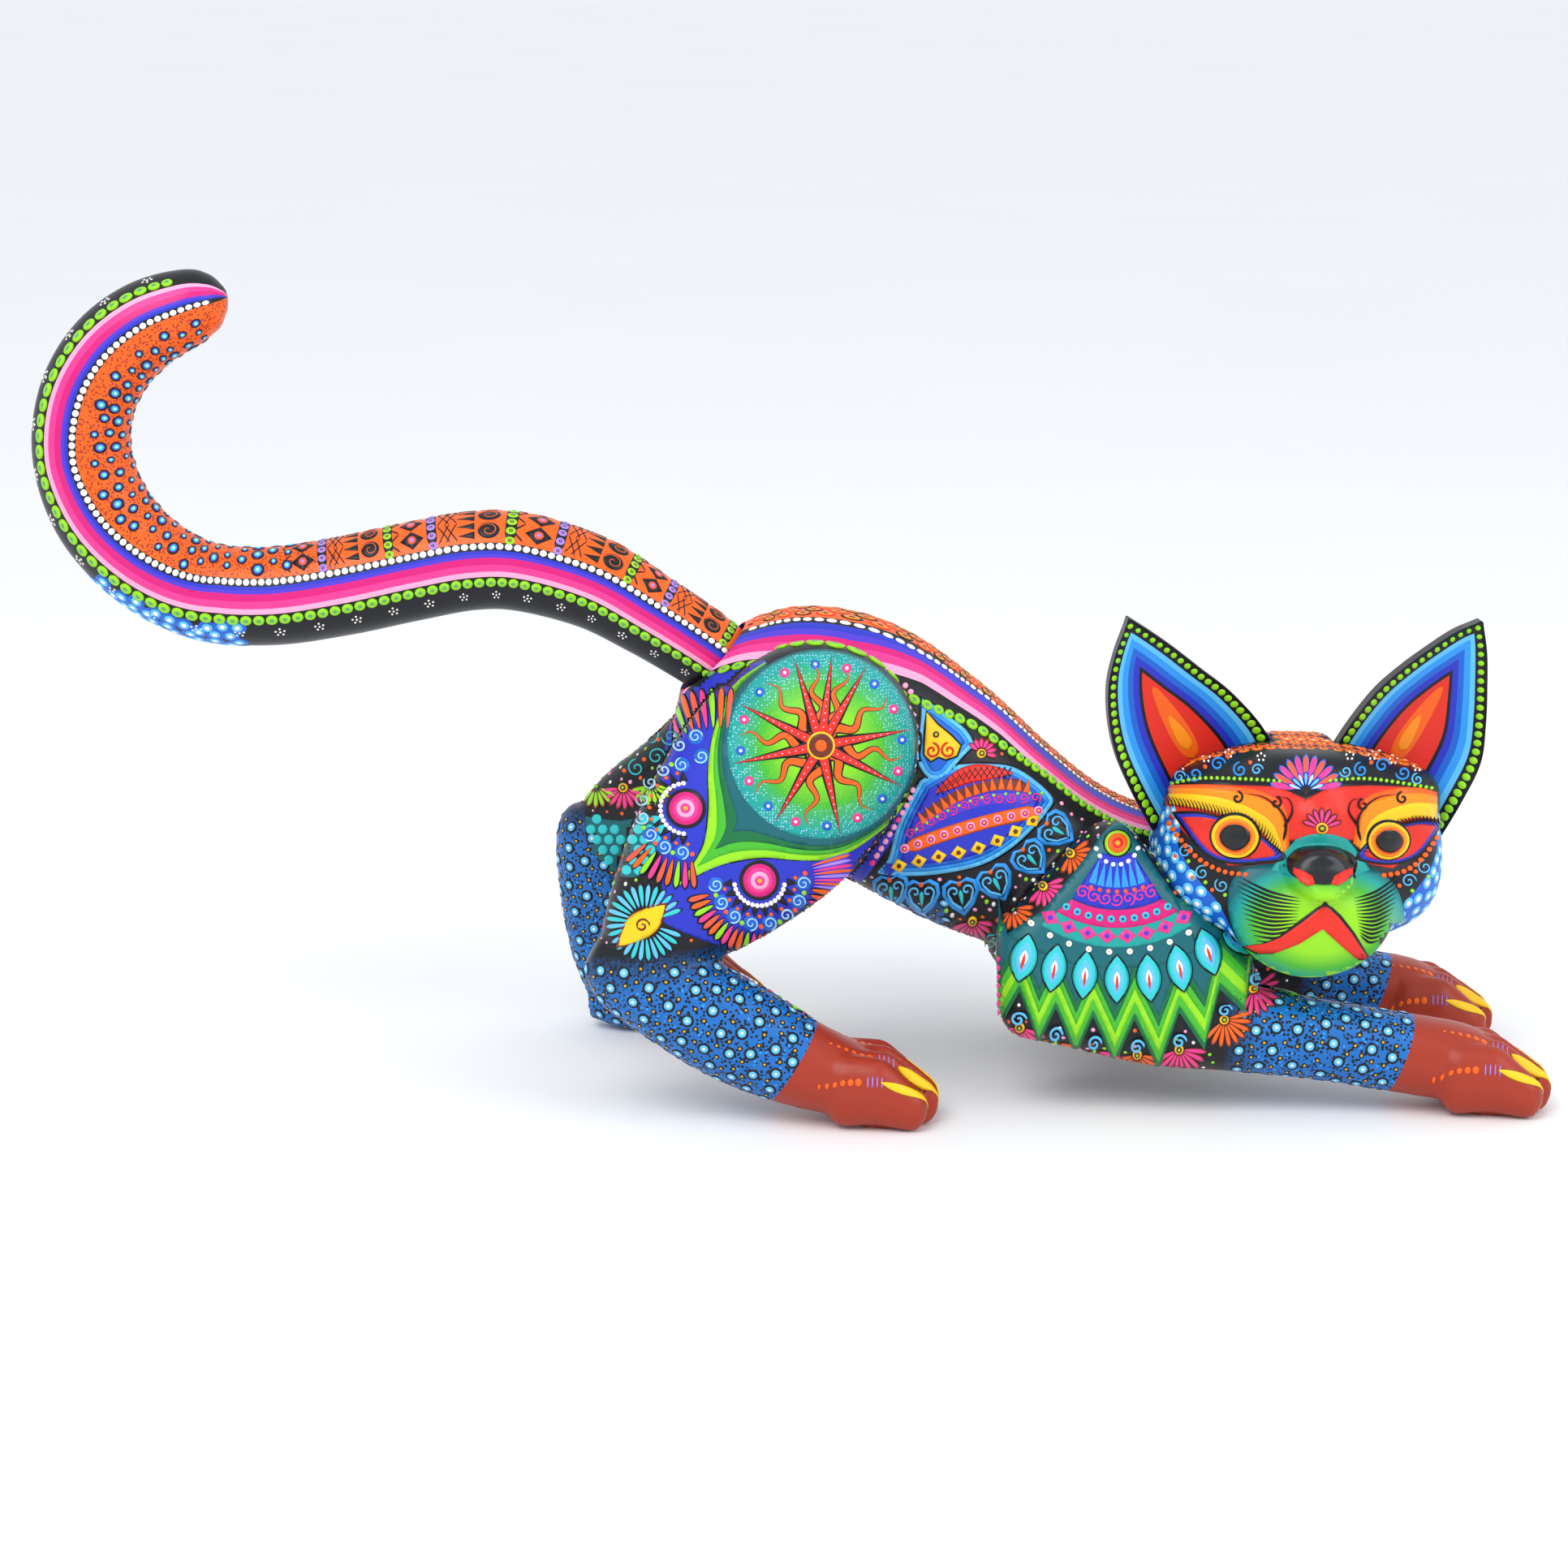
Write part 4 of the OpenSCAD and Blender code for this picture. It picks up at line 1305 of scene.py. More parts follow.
def flank(sheet):
    """The flame-shaped panel on the ribs, its rows of motifs, and the hearts and shells round it."""
    panel = curve((-14, 6), (-6, 10.5), (0, 11.8), (9.4, 12.2), (20, 11), (29, 5.5), (35, -1), (33, -6),
                  (27, -13), (19, -20), (9, -25.5), (-4, -28.5), (-17, -29.5), (-29.3, -28.2), (-25.5, -22.3),
                  (-22.8, -11.7), (-18.6, -2.3), (-14, 6), steps=4)[:-1]
    spade = curve((-13.5, 36), (-8, 33), (-2.5, 29), (3.6, 24), (6.2, 18.5), (2.6, 14), (-1, 10), (-5, 6),
                  (-11, 6), (-15.5, 13), (-15, 20), (-14, 27), (-13.5, 36), steps=4)[:-1]
    bands = ((0, "black"), (0.7, "light_blue"), (2.1, "sky"), (3.5, "blue"), (4.9, "royal"))
    for layer, (depth, tint) in enumerate(bands):
        fill(sheet, inset(panel, depth), tint, 1 + layer)
    for layer, (depth, tint) in enumerate(bands[:4]):
        fill(sheet, inset(spade, depth), tint, 2 + layer, cell=1.4)
    flame = [(-11.4, 30), (-7.5, 25.5), (-2.6, 21.5), (0.8, 18), (-0.6, 14.4), (-4.4, 13.2), (-7, 14.2),
             (-9.8, 12.6), (-12.2, 14.8), (-12, 20), (-11.6, 25)]
    fill(sheet, inset(flame, -0.7), "black", 7, cell=1.3)
    fill(sheet, flame, "yellow", 8, cell=1.3)
    for x, hand in ((-9.4, -1), (-3.4, 1)):
        spiral(sheet, (x, 16.2), 2.9, "red", 0.9, start=90, hand=hand, layer=10)
    drops(sheet, (-8, 22), 1.3, ("brown", "lime"), 9, (1, 0.5))
    rows = {"grid": curve((-8, 1), (2, 7), (10, 8.4), (20, 8)),
            "teeth": curve((-12.9, -8), (0, 0), (14, 4), (25, 3)),
            "curls": curve((-17, -13.5), (-4, -6), (10, -1.5), (28, -0.8)),
            "band": curve((-19, -18.8), (-4, -13.6), (12, -9), (29, -5.5)),
            "gems": curve((-21, -25), (-7, -21.8), (8, -18.6), (19, -13.8), (27, -9))}
    stroke(sheet, rows["grid"], 6.4, "red", 7, "leaf", crown=0.02)
    for spot in spaced(rows["grid"], 2.2)[1:-1]:
        for lean in (-35, 35):
            stroke(sheet, turned([[0, -2.6], [0, 2.6]], spot, lean), 0.5, "black", 8)
    stroke(sheet, rows["teeth"], 4.4, "brown", 6, "line", crown=0.02)
    for spot, turn in zip(spaced(rows["teeth"], 3.2), row_angles(spaced(rows["teeth"], 3.2))):
        stroke(sheet, turned([[0, -2], [0, 3]], spot, turn), 2.8, "orange", 8, "ray")
    stroke(sheet, rows["curls"], 5.0, "violet", 6, "line", crown=0.02)
    for i, spot in enumerate(spaced(rows["curls"], 4.4)):
        spiral(sheet, spot, 1.9, "hot_pink", 0.6, start=60 * i, layer=8)
        disc(sheet, spot + [2.2, 1.6], 0.6, "lime", 8)
    stroke(sheet, rows["band"], 5.0, "orange", 7, "line", crown=0.02)
    for spot in spaced(rows["band"], 5.2):
        drops(sheet, spot, 1.75, ("light_pink", "magenta", "yellow"), 8)
    for spot, turn in zip(spaced(rows["gems"], 7), row_angles(spaced(rows["gems"], 7))):
        fill(sheet, turned([[-2.9, 0], [0, -2.5], [2.9, 0], [0, 2.5]], spot, turn), "yellow", 7, cell=1.6)
        disc(sheet, spot, 0.95, "brown", 8)
    for (x, y), lean in (((-24, -33.5), 6), ((-12.9, -35.4), 2), ((1.2, -35), 10), ((13.5, -30.5), 28),
                         ((25.8, -22), 42), ((35, -12), 58)):
        heart(sheet, (x, y), lean)
        low = turned([[-6.2, -5.4], [-4.4, -7.4]], (x, y), lean)
        for spot, tint in zip(low, ("lime", "white")):
            disc(sheet, spot, 0.8, tint, 4)
    for x, y, tint, turn in ((-20, -48, "pink", 262), (-7.5, -46.9, "orange", 268),
                             (5.5, -45.2, "hot_pink", 276), (19.9, -41, "orange", 290),
                             (31.1, -32.8, "hot_pink", 305), (41, -21, "orange", 320)):
        shell(sheet, (x, y), turn, tint)
    shell(sheet, (8.5, 15.2), 65, "hot_pink", 5.4, 7)
    curls(sheet, ((-14, -57, 0), (-1, -56, 0), (12, -53, 0), (25, -47, 0)), 3.2, "turquoise", 0.8, 2,
          ((5.5, 3, 0.8, "orange"), (-4, 4.5, 0.7, "white")))


# The lower edge of the cape: its points, and the notches between them.
CAPE_NOTCHES = [(-34.7, -57.8), (-21.9, -63.9), (-8.5, -66.9), (6.5, -68), (22.5, -65.5), (37, -57),
                (48, -47)]
CAPE_TIPS = [(-42, -71.2), (-28, -76.7), (-14.6, -80.9), (-0.6, -84), (15.2, -85.8), (31.6, -79), (46, -66),
             (56, -46)]


def cape(sheet):
    """The shoulder cape: a target over curved rows of motifs, then leaves over a zigzag of green points."""
    tip = np.array([0.0, 8.0])

    def row(radius, lean):
        """An arc of the cape, at a distance down from its tip."""
        return ring_of(radius, 24, -90 - lean, -90 + lean, tip)[0]

    zigzag = [(-42.5, -43)]
    for low, notch in zip(CAPE_TIPS, CAPE_NOTCHES):
        zigzag += [low, notch]
    zigzag.append(CAPE_TIPS[-1])
    top = np.array([(50, -38), (42, -33), (20.7, -24.3), (3.5, 0), (0, 2.5), (-3.5, 0), (-13, -13),
                    (-26, -29), (-38.9, -37.7)])
    for x, y, tint, turn in ((-34.7, -70.8, "hot_pink", 265), (-21.9, -76, "orange", 268),
                             (-7.9, -79, "hot_pink", 270), (7.5, -80.5, "orange", 272),
                             (22.5, -78.7, "hot_pink", 280), (38.7, -68.2, "orange", 300),
                             (49, -57, "hot_pink", 320)):
        shell(sheet, (x, y), turn, tint, 9.5, 9)
        spiral(sheet, (x, y + 3.2), 2.6, "light_blue", 0.9, layer=20)
    for layer, (rise, tint) in enumerate(((0, "dark_green"), (2.6, "green"), (6.6, "lime"), (11.2, "green"),
                                          (15.4, "dark_green"), (19.4, "dark_teal"))):
        fill(sheet, np.vstack([np.array(zigzag) + [0, rise], top]), tint, 7 + layer)
    hem = [(-38.9, -37.7), (-30, -43), (-15, -48), (0, -49.5), (15, -48.5), (30, -43)]
    fill(sheet, np.vstack([top[2:8], hem]), "dark_teal", 13)
    fill(sheet, np.vstack([row(50, 33)[::-1], row(37.5, 26)]), "teal", 14)
    fill(sheet, np.vstack([row(43, 30)[::-1], row(36.5, 26)]), "magenta", 15)
    fill(sheet, np.vstack([row(36.3, 26)[::-1], row(17, 17)]), "royal", 15)
    for layer, (radius, tint) in enumerate(((5, "black"), (4.4, "lime"), (3.5, "orange"), (1.9, "red"),
                                            (0.8, "gold"))):
        disc(sheet, (0, -5.1), radius, tint, 16 + layer, dome=0.08)
    for spot in ring_of(7.2, 8, 195, 345, (0, -5.1))[0]:
        disc(sheet, spot, 0.85, "white", 16)
    for spot, turn in zip(*ring_of(23.5, 7, -108, -72, tip)):
        stroke(sheet, turned([[5, 0], [-4.5, 0]], spot, turn), 3.6, "sky", 15, "ray")
        disc(sheet, turned([[6.4, 0]], spot, turn)[0], 0.9, "coral", 16)
    for i, spot in enumerate(ring_of(32.6, 7, -112, -68, tip)[0]):
        spiral(sheet, spot, 2.5, "hot_pink", 0.8, start=70 * i, layer=16)
    for spot in ring_of(39.8, 10, -117, -63, tip)[0]:
        drops(sheet, spot, 1.4, ("turquoise", "royal"), 16, (1, 0.5))
    for spot, turn in zip(*ring_of(46, 8, -121, -59, tip)):
        fill(sheet, turned([[-2.7, 0], [0, -3.4], [2.7, 0], [0, 3.4]], spot, turn), "hot_pink", 16, cell=1.8)
        disc(sheet, spot, 1.0, "violet", 17)
    for spot in ring_of(51.6, 10, -126, -52, tip)[0]:
        drops(sheet, spot, 1.15, ("white", "gold"), 20, (1, 0.4))
    for x, y, lean in ((-33, -45.5, -12), (-22.5, -49, -9), (-11.5, -51.5, -5), (0, -53, 0), (11.5, -52.5, 5),
                       (22.5, -49, 11), (32.5, -43.5, 19), (42, -38, 30)):
        for layer, (size, tint) in enumerate(((1.08, "black"), (1, "turquoise"), (0.7, "light_blue"),
                                              (0.34, "white"))):
            leaf = turned([[0, 8], [0, -8.6]], (x, y), lean, size)
            stroke(sheet, leaf, 8.8 * size, tint, 16 + layer, "leaf")
        stroke(sheet, turned([[0, 1.6], [0, -4.4]], (x, y), lean), 1.3, "red", 20, "leaf")
    for y in np.arange(-45, -71, -3.2):
        stroke(sheet, [(-41.6, y), (-41.6, y - 2.3)], 1.3, "hot_pink", 13)


def leg_drops(target, mask, seed):
    """Pale blue drops in dark halos, with small gold ones between them."""
    found = scatter(target, mask, 7.2, seed)
    taken = [target.points[i].tolist() for i in found]
    for spot in spots(target, found):
        drops(spot, (0, 0), 2.55, ("black", "light_blue", "white"), 1, (1, 0.66, 0.24), dome=0.1)
    for spot in spots(target, scatter(target, mask, 4.1, seed + 1, taken)):
        drops(spot, (0, 0), 1.05, ("black", "gold"), 1, (1, 0.52), dome=0.08)


TOE_LEVEL = 11
TOE_RISE = 32


def paw_paint(target, leg):
    """A claw on each toe, stripes and a row of drops that lead to it, and brown painted shade in the toe
    grooves.
    """
    heel, forward, sideways = paw_axes(leg)
    across = unit(sideways)

    def at(f, s):
        """A place from 0 at the heel to 1 at the tip, and from -1 to 1 across the paw."""
        return heel + forward * f + sideways * s

    for k in (-1.5, -0.5, 0.5, 1.5):
        plan = Plan(target, TOE_LEVEL, TOE_RISE, unit(forward) * 0.9 + across * 0.42 * k)
        end = 1.26 - 0.07 * k * k
        claw = curve(at(end - 0.92, 0.5 * k), at(end - 0.45, 0.52 * k), at(end + 0.05, 0.5 * k))
        stroke(plan, claw, 5.2, "brown", 0, "leaf", crown=0.02)
        stroke(plan, claw, 3.8, "yellow", 3, "leaf")
        plan = Plan(target, TOE_LEVEL, TOE_RISE, across * 0.42 * k)
        for n in range(4):
            spot = at(end - 0.62 - 0.06 * n, 0.5 * k)
            stroke(plan, [spot - across * 2, spot + across * 2], 0.8, "lavender", 1)
        for n in range(6):
            disc(plan, at(end - 0.92 - 0.1 * n, 0.5 * k), 1.3 - 0.14 * n, "orange", 1)
    # Painted shade: thin brown lines down the three carved grooves between the toes, darkening the grooves.
    plan = Plan(target, TOE_LEVEL, TOE_RISE)
    for s in (-0.5, 0, 0.5):
        stroke(plan, [at(0.35, s), at(1.15, s)], 0.7, "brown", 0, "leaf", crown=0.02)


def tail_panel(wrap):
    """The orange panel along the tail's top: blocks of motifs that repeat, one after the other."""
    low, high = wrap.round(36), wrap.round(144)
    wide = high - low
    levels = low + wide * (np.arange(4) + 0.5) / 4
    for start in np.arange(7, 150, 41):
        for run, tint in ((start, "lime"), (start + 25, "lavender")):
            stroke(wrap, [(run, low), (run, high)], 4.0, "black", 1, crown=0.02)
            for level in spaced([(run, low), (run, high)], 3.8)[:, 1]:
                drops(wrap, (run, level), 1.6, (tint, "brown", tint), 2, (1, 0.5, 0.2))
        for level in levels:
            disc(wrap, (start + 6.6, level), 3.5, "black", 1, dome=0.03)
            spiral(wrap, (start + 6.6, level), 3.1, "orange", 0.8, layer=2)
            for step in (-1.9, 1.9):
                tooth = [(start + 11, level + step), (start + 16.5, level + step)]
                stroke(wrap, tooth, 3.7, "black", 1, "ray")
            for lean, shift in product((-3.8, 3.8), (0, 2.4)):
                hatch = [(start + 16.6 + shift, level - lean), (start + 20.4 + shift, level + lean)]
                stroke(wrap, hatch, 0.75, "black")
            diamond = turned([[-4.4, 0], [0, -3.7], [4.4, 0], [0, 3.7]], (start + 32.3, level))
            fill(wrap, diamond, "black", 1, cell=1.8)
            drops(wrap, (start + 32.3, level), 1.7, ("coral", "lavender"), 2, (1, 0.5))
            arrow = [(start + 37, level - 3.7), (start + 40.5, level), (start + 37, level + 3.7)]
            stroke(wrap, arrow, 1.1, "black")


def tail_rows(wrap, mirrored):
    """Drops along the tail's bands, clusters under them and haloed drops in the hook."""
    end = TAIL_LINE.run[-1] - 14

    def row(degrees):
        return lambda run: degrees - tail_drop(run)

    oval_rows(wrap, (5, end), row(-20), 4.5)
    for run in np.arange(5, end + 8, 2.9):
        disc(wrap, (run, wrap.round(27.5 - tail_drop(run))), 1.3, "white", 1)
    for run in np.arange(12, end, 13.5):
        middle = (run, wrap.round(-40 - tail_drop(run)))
        for spot in [middle] + list(ring_of(1.5, 5, 18, 378, middle)[0]):
            disc(wrap, spot, 0.42, "white", 1, dome=0.08)
    if mirrored:
        return
    rng = random.Random(5)
    for i, run in enumerate(np.arange(168, end + 4, 6.4)):
        for j in range(-3, 4):
            degrees = 90 + j * 22 + (11 if i % 2 else 0) + rng.uniform(-3, 3)
            low = 33 - tail_drop(run)
            if low + 5 < degrees < 180 - low - 5:
                at = (run + rng.uniform(-0.8, 0.8), wrap.round(degrees))
                size = rng.choice((2.8, 1.8, 2.3))
                tints = ("black", "violet", "turquoise", "white")
                drops(wrap, at, size, tints, shares=(1, 0.7, 0.52, 0.2), dome=0.1)


# The tip and the foot of the flame on each ear's front.
FLAMES = {"left": np.array([(4.5, 45), (2.5, 13)]), "right": np.array([(-0.5, 45), (0.5, 13)])}


def ear_paint(target, side, rows):
    """Lime drops round both faces of the ear, and the flame inside it."""
    fine = smooth(rows, 12)
    for hand in (-1, 1):
        edge = np.column_stack([fine[:, 0] + hand * np.maximum(fine[:, 1] - 2.5, 0), fine[:, 2]])
        line = spaced(edge[:-14], 3.3)
        for facing in (-1, 1):
            sheet = EarSheet(target, side, facing)
            for i, spot in enumerate(line[1:]):
                size = 1.6 - 0.7 * i / len(line)
                disc(sheet, spot, size, "lime", 1)
    sheet = EarSheet(target, side, -1)
    stroke(sheet, FLAMES[side], 12, "orange", 1, "drop")
    stroke(sheet, FLAMES[side] + [[0, -13], [0, 4]], 7.0, "amber", 3, "drop")
    back = EarSheet(target, side, 1)
    for z in np.arange(8, 50, 7):
        disc(back, (0, z), 2.4, "black", 1, dome=0.05)
        drops(back, (0, z), 1.8, ("turquoise", "white"), 2, (1, 0.4))


EAR_RISE = 40.0


class EarSheet:
    """Places on an ear's front (-1) or back (1): millimetres across it and up from its seat."""

    def __init__(self, target, side, facing):
        self.target, self.side = target, side
        self.start = facing * EAR_RISE
        self.way = ear_way(side, [0, -facing, 0])

    def throw(self, flat):
        local = np.column_stack([flat[:, 0], np.full(len(flat), self.start), flat[:, 1] + SEAT_GAP])
        return self.target.hit(from_ear(self.side, local), np.broadcast_to(self.way, local.shape))


def brow(sheet, low, middle, high):
    """A brow between curves: orange over yellow, with black hairs that rise from its lower edge."""
    low, middle, high = (curve(*line) for line in (low, middle, high))
    for layer, (share, tint) in enumerate(((0, "orange"), (0.35, "amber"))):
        fill(sheet, np.vstack([low, (high + (middle - high) * share)[::-1]]), tint, 3 + layer, cell=1.2)
    fill(sheet, np.vstack([low, middle[::-1]]), "yellow", 5, cell=1.2)
    hairs = spaced(low, 1.25)
    for spot, turn in zip(hairs, row_angles(hairs)):
        hair = turned([[0, -0.8], [-0.7, 1.0], [-2.0, 2.6]], spot, turn)
        stroke(sheet, hair, 0.7, "black", 9, "taper")


def eye(sheet, at, size, almond):
    """An orange eye in a red and violet almond, with a glossy dark pupil."""
    outline = curve(*almond, steps=6)
    middle = outline.mean(0)
    for layer, (share, tint) in enumerate(((1.12, "black"), (1.02, "royal"), (0.9, "red"))):
        fill(sheet, middle + (outline - middle) * share, tint, 6 + layer, cell=1.3)
    for layer, (radius, tint) in enumerate(((1.08, "black"), (1, "yellow"), (0.86, "amber"),
                                            (0.72, "orange"))):
        disc(sheet, at, size * radius, tint, 10 + layer, aspect=1.06, dome=0.12)
    disc(sheet, at, size * 0.62, "pupil", 15, aspect=1.1, dome=0.6)


def face(sheet):
    """The painted mask: crest, brows, eyes, nose, muzzle with whiskers, and the red mouth."""
    mask = [(-57, 17), (-44, 19), (-28, 18.5), (-16, 18), (-6.6, 13.5), (2, 18), (16, 18.5), (30, 18),
            (39, 14), (40.5, 6), (36, -3), (24, -11), (14, -9), (11, -1), (-12, -1), (-17, -9), (-34, -10),
            (-46, -2), (-56, 8)]
    fill(sheet, mask, "red", 1, cell=1.3)
    crest = [(-57, 17.5), (-44, 20), (-28, 19.5), (-16, 19), (-6.6, 14.5), (2, 19), (16, 19.5), (30, 19),
             (40, 16), (36, 24), (20, 30), (-6, 33), (-36, 31), (-52, 25)]
    fill(sheet, crest, "black", 1, cell=1.5)
    fan(sheet, (-6.6, 16.5), 4, 12.5, 12, 168, 11, ("hot_pink", "coral"), 3.0, 3, "blue")
    fan(sheet, (-6.6, 16.5), 2, 6.5, 20, 160, 7, ("pale_blue", "light_blue"), 1.7, 5, "royal")
    curls(sheet, ((-37.9, 26, 0), (-30, 24, 90), (-46, 22.5, 180), (20.5, 25.5, 0), (13, 24, 90),
                  (28, 23, 180)),
          2.7, "sky", 0.8, 3, ((3.6, 2.6, 0.8, "orange"),))
    for x, y in ((-51, 25.4), (-42, 28.2), (-34, 29.8), (-22.5, 28.5), (9, 29), (17, 29), (24.5, 27.5),
                 (33, 25)):
        for spot in ring_of(1.3, 5, 18, 378, (x, y))[0]:
            disc(sheet, spot, 0.4, "white", 3, dome=0.06)
    curls(sheet, ((-24, 24, 0), (7.5, 23.5, 180), (33, 20.6, 90), (-51.5, 21.6, 0)),
          2.2, "light_blue", 0.7, 3)
    for line in (curve((-56, 18.8), (-44, 21), (-28, 20.7), (-16, 20)),
                 curve((2, 20.2), (16, 20.8), (38, 17.6))):
        for spot in spaced(line, 2.0):
            disc(sheet, spot, 0.65, "lime", 4)
    fan(sheet, (-1, 3.4), 1.6, 6.6, 20, 160, 7, ("hot_pink",), 1.6, 8, "brown")
    drops(sheet, (-1, 3.4), 2.0, ("yellow", "brown", "lime"), 10, (1, 0.7, 0.35))
    brow(sheet, ((-54.5, 12), (-45.5, 10.7), (-36, 8.6), (-28, 6), (-21.5, 1.4), (-16.4, -6)),
         ((-55.2, 15.6), (-45.5, 15.4), (-34.5, 13.6), (-25.5, 10.1), (-18, 4.4), (-14.4, -6)),
         ((-55.5, 18.6), (-45.5, 18.8), (-33, 18.2), (-21.5, 16), (-13.8, 10), (-12.4, -4)))
    brow(sheet, ((39.6, 6.6), (33, 7.4), (25, 5.6), (18.6, 1.6), (14.2, -5)),
         ((39.8, 12), (31.5, 12.4), (21.8, 9.6), (15.6, 5), (12.4, -4)),
         ((39.8, 16), (34, 17.6), (24, 17.2), (14, 13), (10, -2)))
    for line in (((-14.5, -1), (-13.6, 5), (-16, 10), (-22, 14.4), (-29, 15.6)),
                 ((-14.4, 4), (-11.5, 9), (-12.6, 13.4), (-16.5, 14.6)),
                 ((12.6, -1), (11.6, 5), (13.6, 10), (19, 14.2), (26, 15.4)),
                 ((12.2, 4), (8.6, 9), (9.6, 13), (13, 14))):
        stroke(sheet, curve(*line), 1.1, "black", 9, "taper")
    for x, y, start, hand in ((-31, 14.2, 90, -1), (-17.4, 12.4, 90, -1), (27.5, 14, 90, 1),
                              (13.8, 11.6, 90, 1)):
        spiral(sheet, (x, y), 2.2, "black", 0.75, 1.3, start, hand, 9)
    eye(sheet, (-31.8, 0.6), 8.4, ((-52, 8.2), (-44, 8.4), (-36, 6.6), (-25, 1.5), (-15.5, -6.5), (-25, -8.4),
                                   (-35, -8.2), (-43, -4), (-52, 8.2)))
    eye(sheet, (22.6, -0.8), 7.3, ((40.5, 5), (34, 5.8), (26, 4), (18, 0), (12.5, -6.5), (19, -8.6),
                                   (27, -8.4), (34, -4.5), (40.5, 5)))
    bridge = [(-15, -6), (-10, -0.5), (-5.5, 1), (-1, 1.6), (3.5, 1), (8, -0.5), (12.4, -6), (16, -11.5),
              (10, -14), (-1, -16), (-12, -14), (-19, -11.5)]
    fill(sheet, bridge, "teal", 4, cell=1.0)
    for line in (curve((-55, 5), (-50, -2), (-44, -8), (-36, -12), (-28, -13.2)),
                 curve((21, -13.5), (28, -12), (34.5, -7.5), (39.5, 0))):
        for spot in spaced(line, 2.5):
            disc(sheet, spot, 0.95, "orange", 6)
    curls(sheet, ((-49.5, -5, 0), (-43.5, -12.5, 60), (-36.5, -17, 120), (30, -15.5, 0), (35.8, -10.5, 90)),
          2.7, "light_blue", 0.8, 2, ((-3.4, -1.6, 0.8, "orange"), (1.2, -3.4, 0.75, "lime")))
    muzzle(sheet)


NOSE_MIDDLE = -0.6


def muzzle(sheet):
    """The green muzzle with its whiskers, black nose, red nostrils and mouth, and lime chin."""
    outline = curve((-30, -11.5), (-20, -9.5), (-10, -10), (0, -11), (10, -11), (18, -11.5), (25, -17),
                    (28, -26), (28, -36), (22, -45), (12, -50), (0, -51.5), (-12, -50), (-22, -46),
                    (-30, -37), (-34, -26), (-33.5, -17), (-30, -11.5), steps=4)[:-1]

    def depth(flat):
        """0 in the middle of the muzzle and about 1 at its edge."""
        return np.hypot((flat[:, 0] + 2) / 34, (flat[:, 1] + 31) / 23) ** 1.3

    fill(sheet, outline, "muzzle", 3, shade=depth)
    for hand, middle, edge in ((-1, (-5, -22), -31), (1, (7, -22), 26)):
        for i in range(13):
            share = i / 12
            start = (middle[0] + hand * (3.4 + 2.1 * share), -21.8 - 12.7 * share)
            end = (edge - hand * 7 * share ** 2, -13.5 - 23 * share)
            bend = ((start[0] + end[0]) / 2, (start[1] + end[1]) / 2 - 1.6)
            stroke(sheet, curve(start, bend, end), 0.95, "black", 5, "leaf", crown=0.04)
    lips = [(-28, -38.4), (-21, -37.4), (-15.8, -35.4), (-8, -30), (0.1, -23.8), (5, -28.3), (9.5, -33.8),
            (15.5, -43), (11, -42.6), (7, -39.2), (-0.7, -32.3), (-9, -37.5), (-17, -40.6), (-23, -40.8)]
    lips = np.array(lips)
    for layer, (grow, tint) in enumerate(((1.1, "black"), (0, "red"))):
        away = unit(lips - [-2, -35])
        fill(sheet, lips + away * grow, tint, 6 + layer, cell=1.6)
    nose = curve((-12.8, -8), (-9, -4.4), (-1, -3.6), (7, -4.4), (11, -8), (10.4, -12.5), (6.6, -15.8),
                 (0, -17), (-7, -15.8), (-12, -12.5), (-12.8, -8), steps=4)[:-1]
    fill(sheet, nose, "pupil", 10, cell=0.9)
    nostril = np.array([(2.8, -16.8), (3.8, -14.2), (7, -12.2), (9.8, -11), (10, -13), (8, -15.6),
                        (5.2, -17.2)])
    for hand in (-1, 1):
        fill(sheet, nostril * [hand, 1] + [NOSE_MIDDLE, 0], "red", 12, cell=0.9)


def cheeks(target):
    """White scales edged in blue over each side of the head, away from the face."""
    mask = (cheek_depth(*head_angles(target.points)) > 2) & ~target.bare(target.points)
    for spot in spots(target, scatter(target, mask, 4.3, 41)):
        drops(spot, (0, 0), 2.3, ("light_blue", "white"), 1, (1, 0.5), dome=0.06)


def crown_paint(target):
    """Orange scales and white drops on top of the head, behind the crest."""
    plan = Plan(target, level=100, rise=100)
    for i, y in enumerate(np.arange(-38, 14, 3.8)):
        for x in np.arange(146 + 2.4 * (i % 2), 228, 4.8):
            disc(plan, (x, y), 2.3, "orange", 1 + i % 2, dome=0.05)
            disc(plan, (x, y), 1.5, "brown" if i % 4 == 1 else "amber", 2 + i % 2, dome=0.05)
            disc(plan, (x, y), 0.6, "white" if i % 4 == 3 else "black", 3 + i % 2, dome=0.05)


def far_thigh(sheet):
    """The inner side of the other hind leg: spirals and shells over a patch of turquoise scales."""
    curls(sheet, ((-58, -4, 0), (-65, -8, 90), (-53, 3, 180), (-60, 4, 270)), 3.2, "turquoise", 0.9, 2,
          ((-4.2, -1, 0.8, "orange"),))
    shell(sheet, (-69.5, -15), 265, "hot_pink")
    shell(sheet, (-59.5, -14), 272, "lime")
    shell(sheet, (-79, -14.5), 258, "lime")
    patch = curve((-83, -25), (-70, -26.5), (-55, -24), (-58, -38), (-64, -46), (-73, -45), (-81, -36),
                  (-83, -25), steps=4)[:-1]
    fill(sheet, patch, "dark_teal", 1)
    for i, y in enumerate(np.arange(-44, -24, 3.6)):
        for x in np.arange(-81 + 2.1 * (i % 2), -55, 4.2):
            if inside(np.array([[x, y]]), patch)[0]:
                disc(sheet, (x, y), 1.8, "turquoise", 3, dome=0.06)


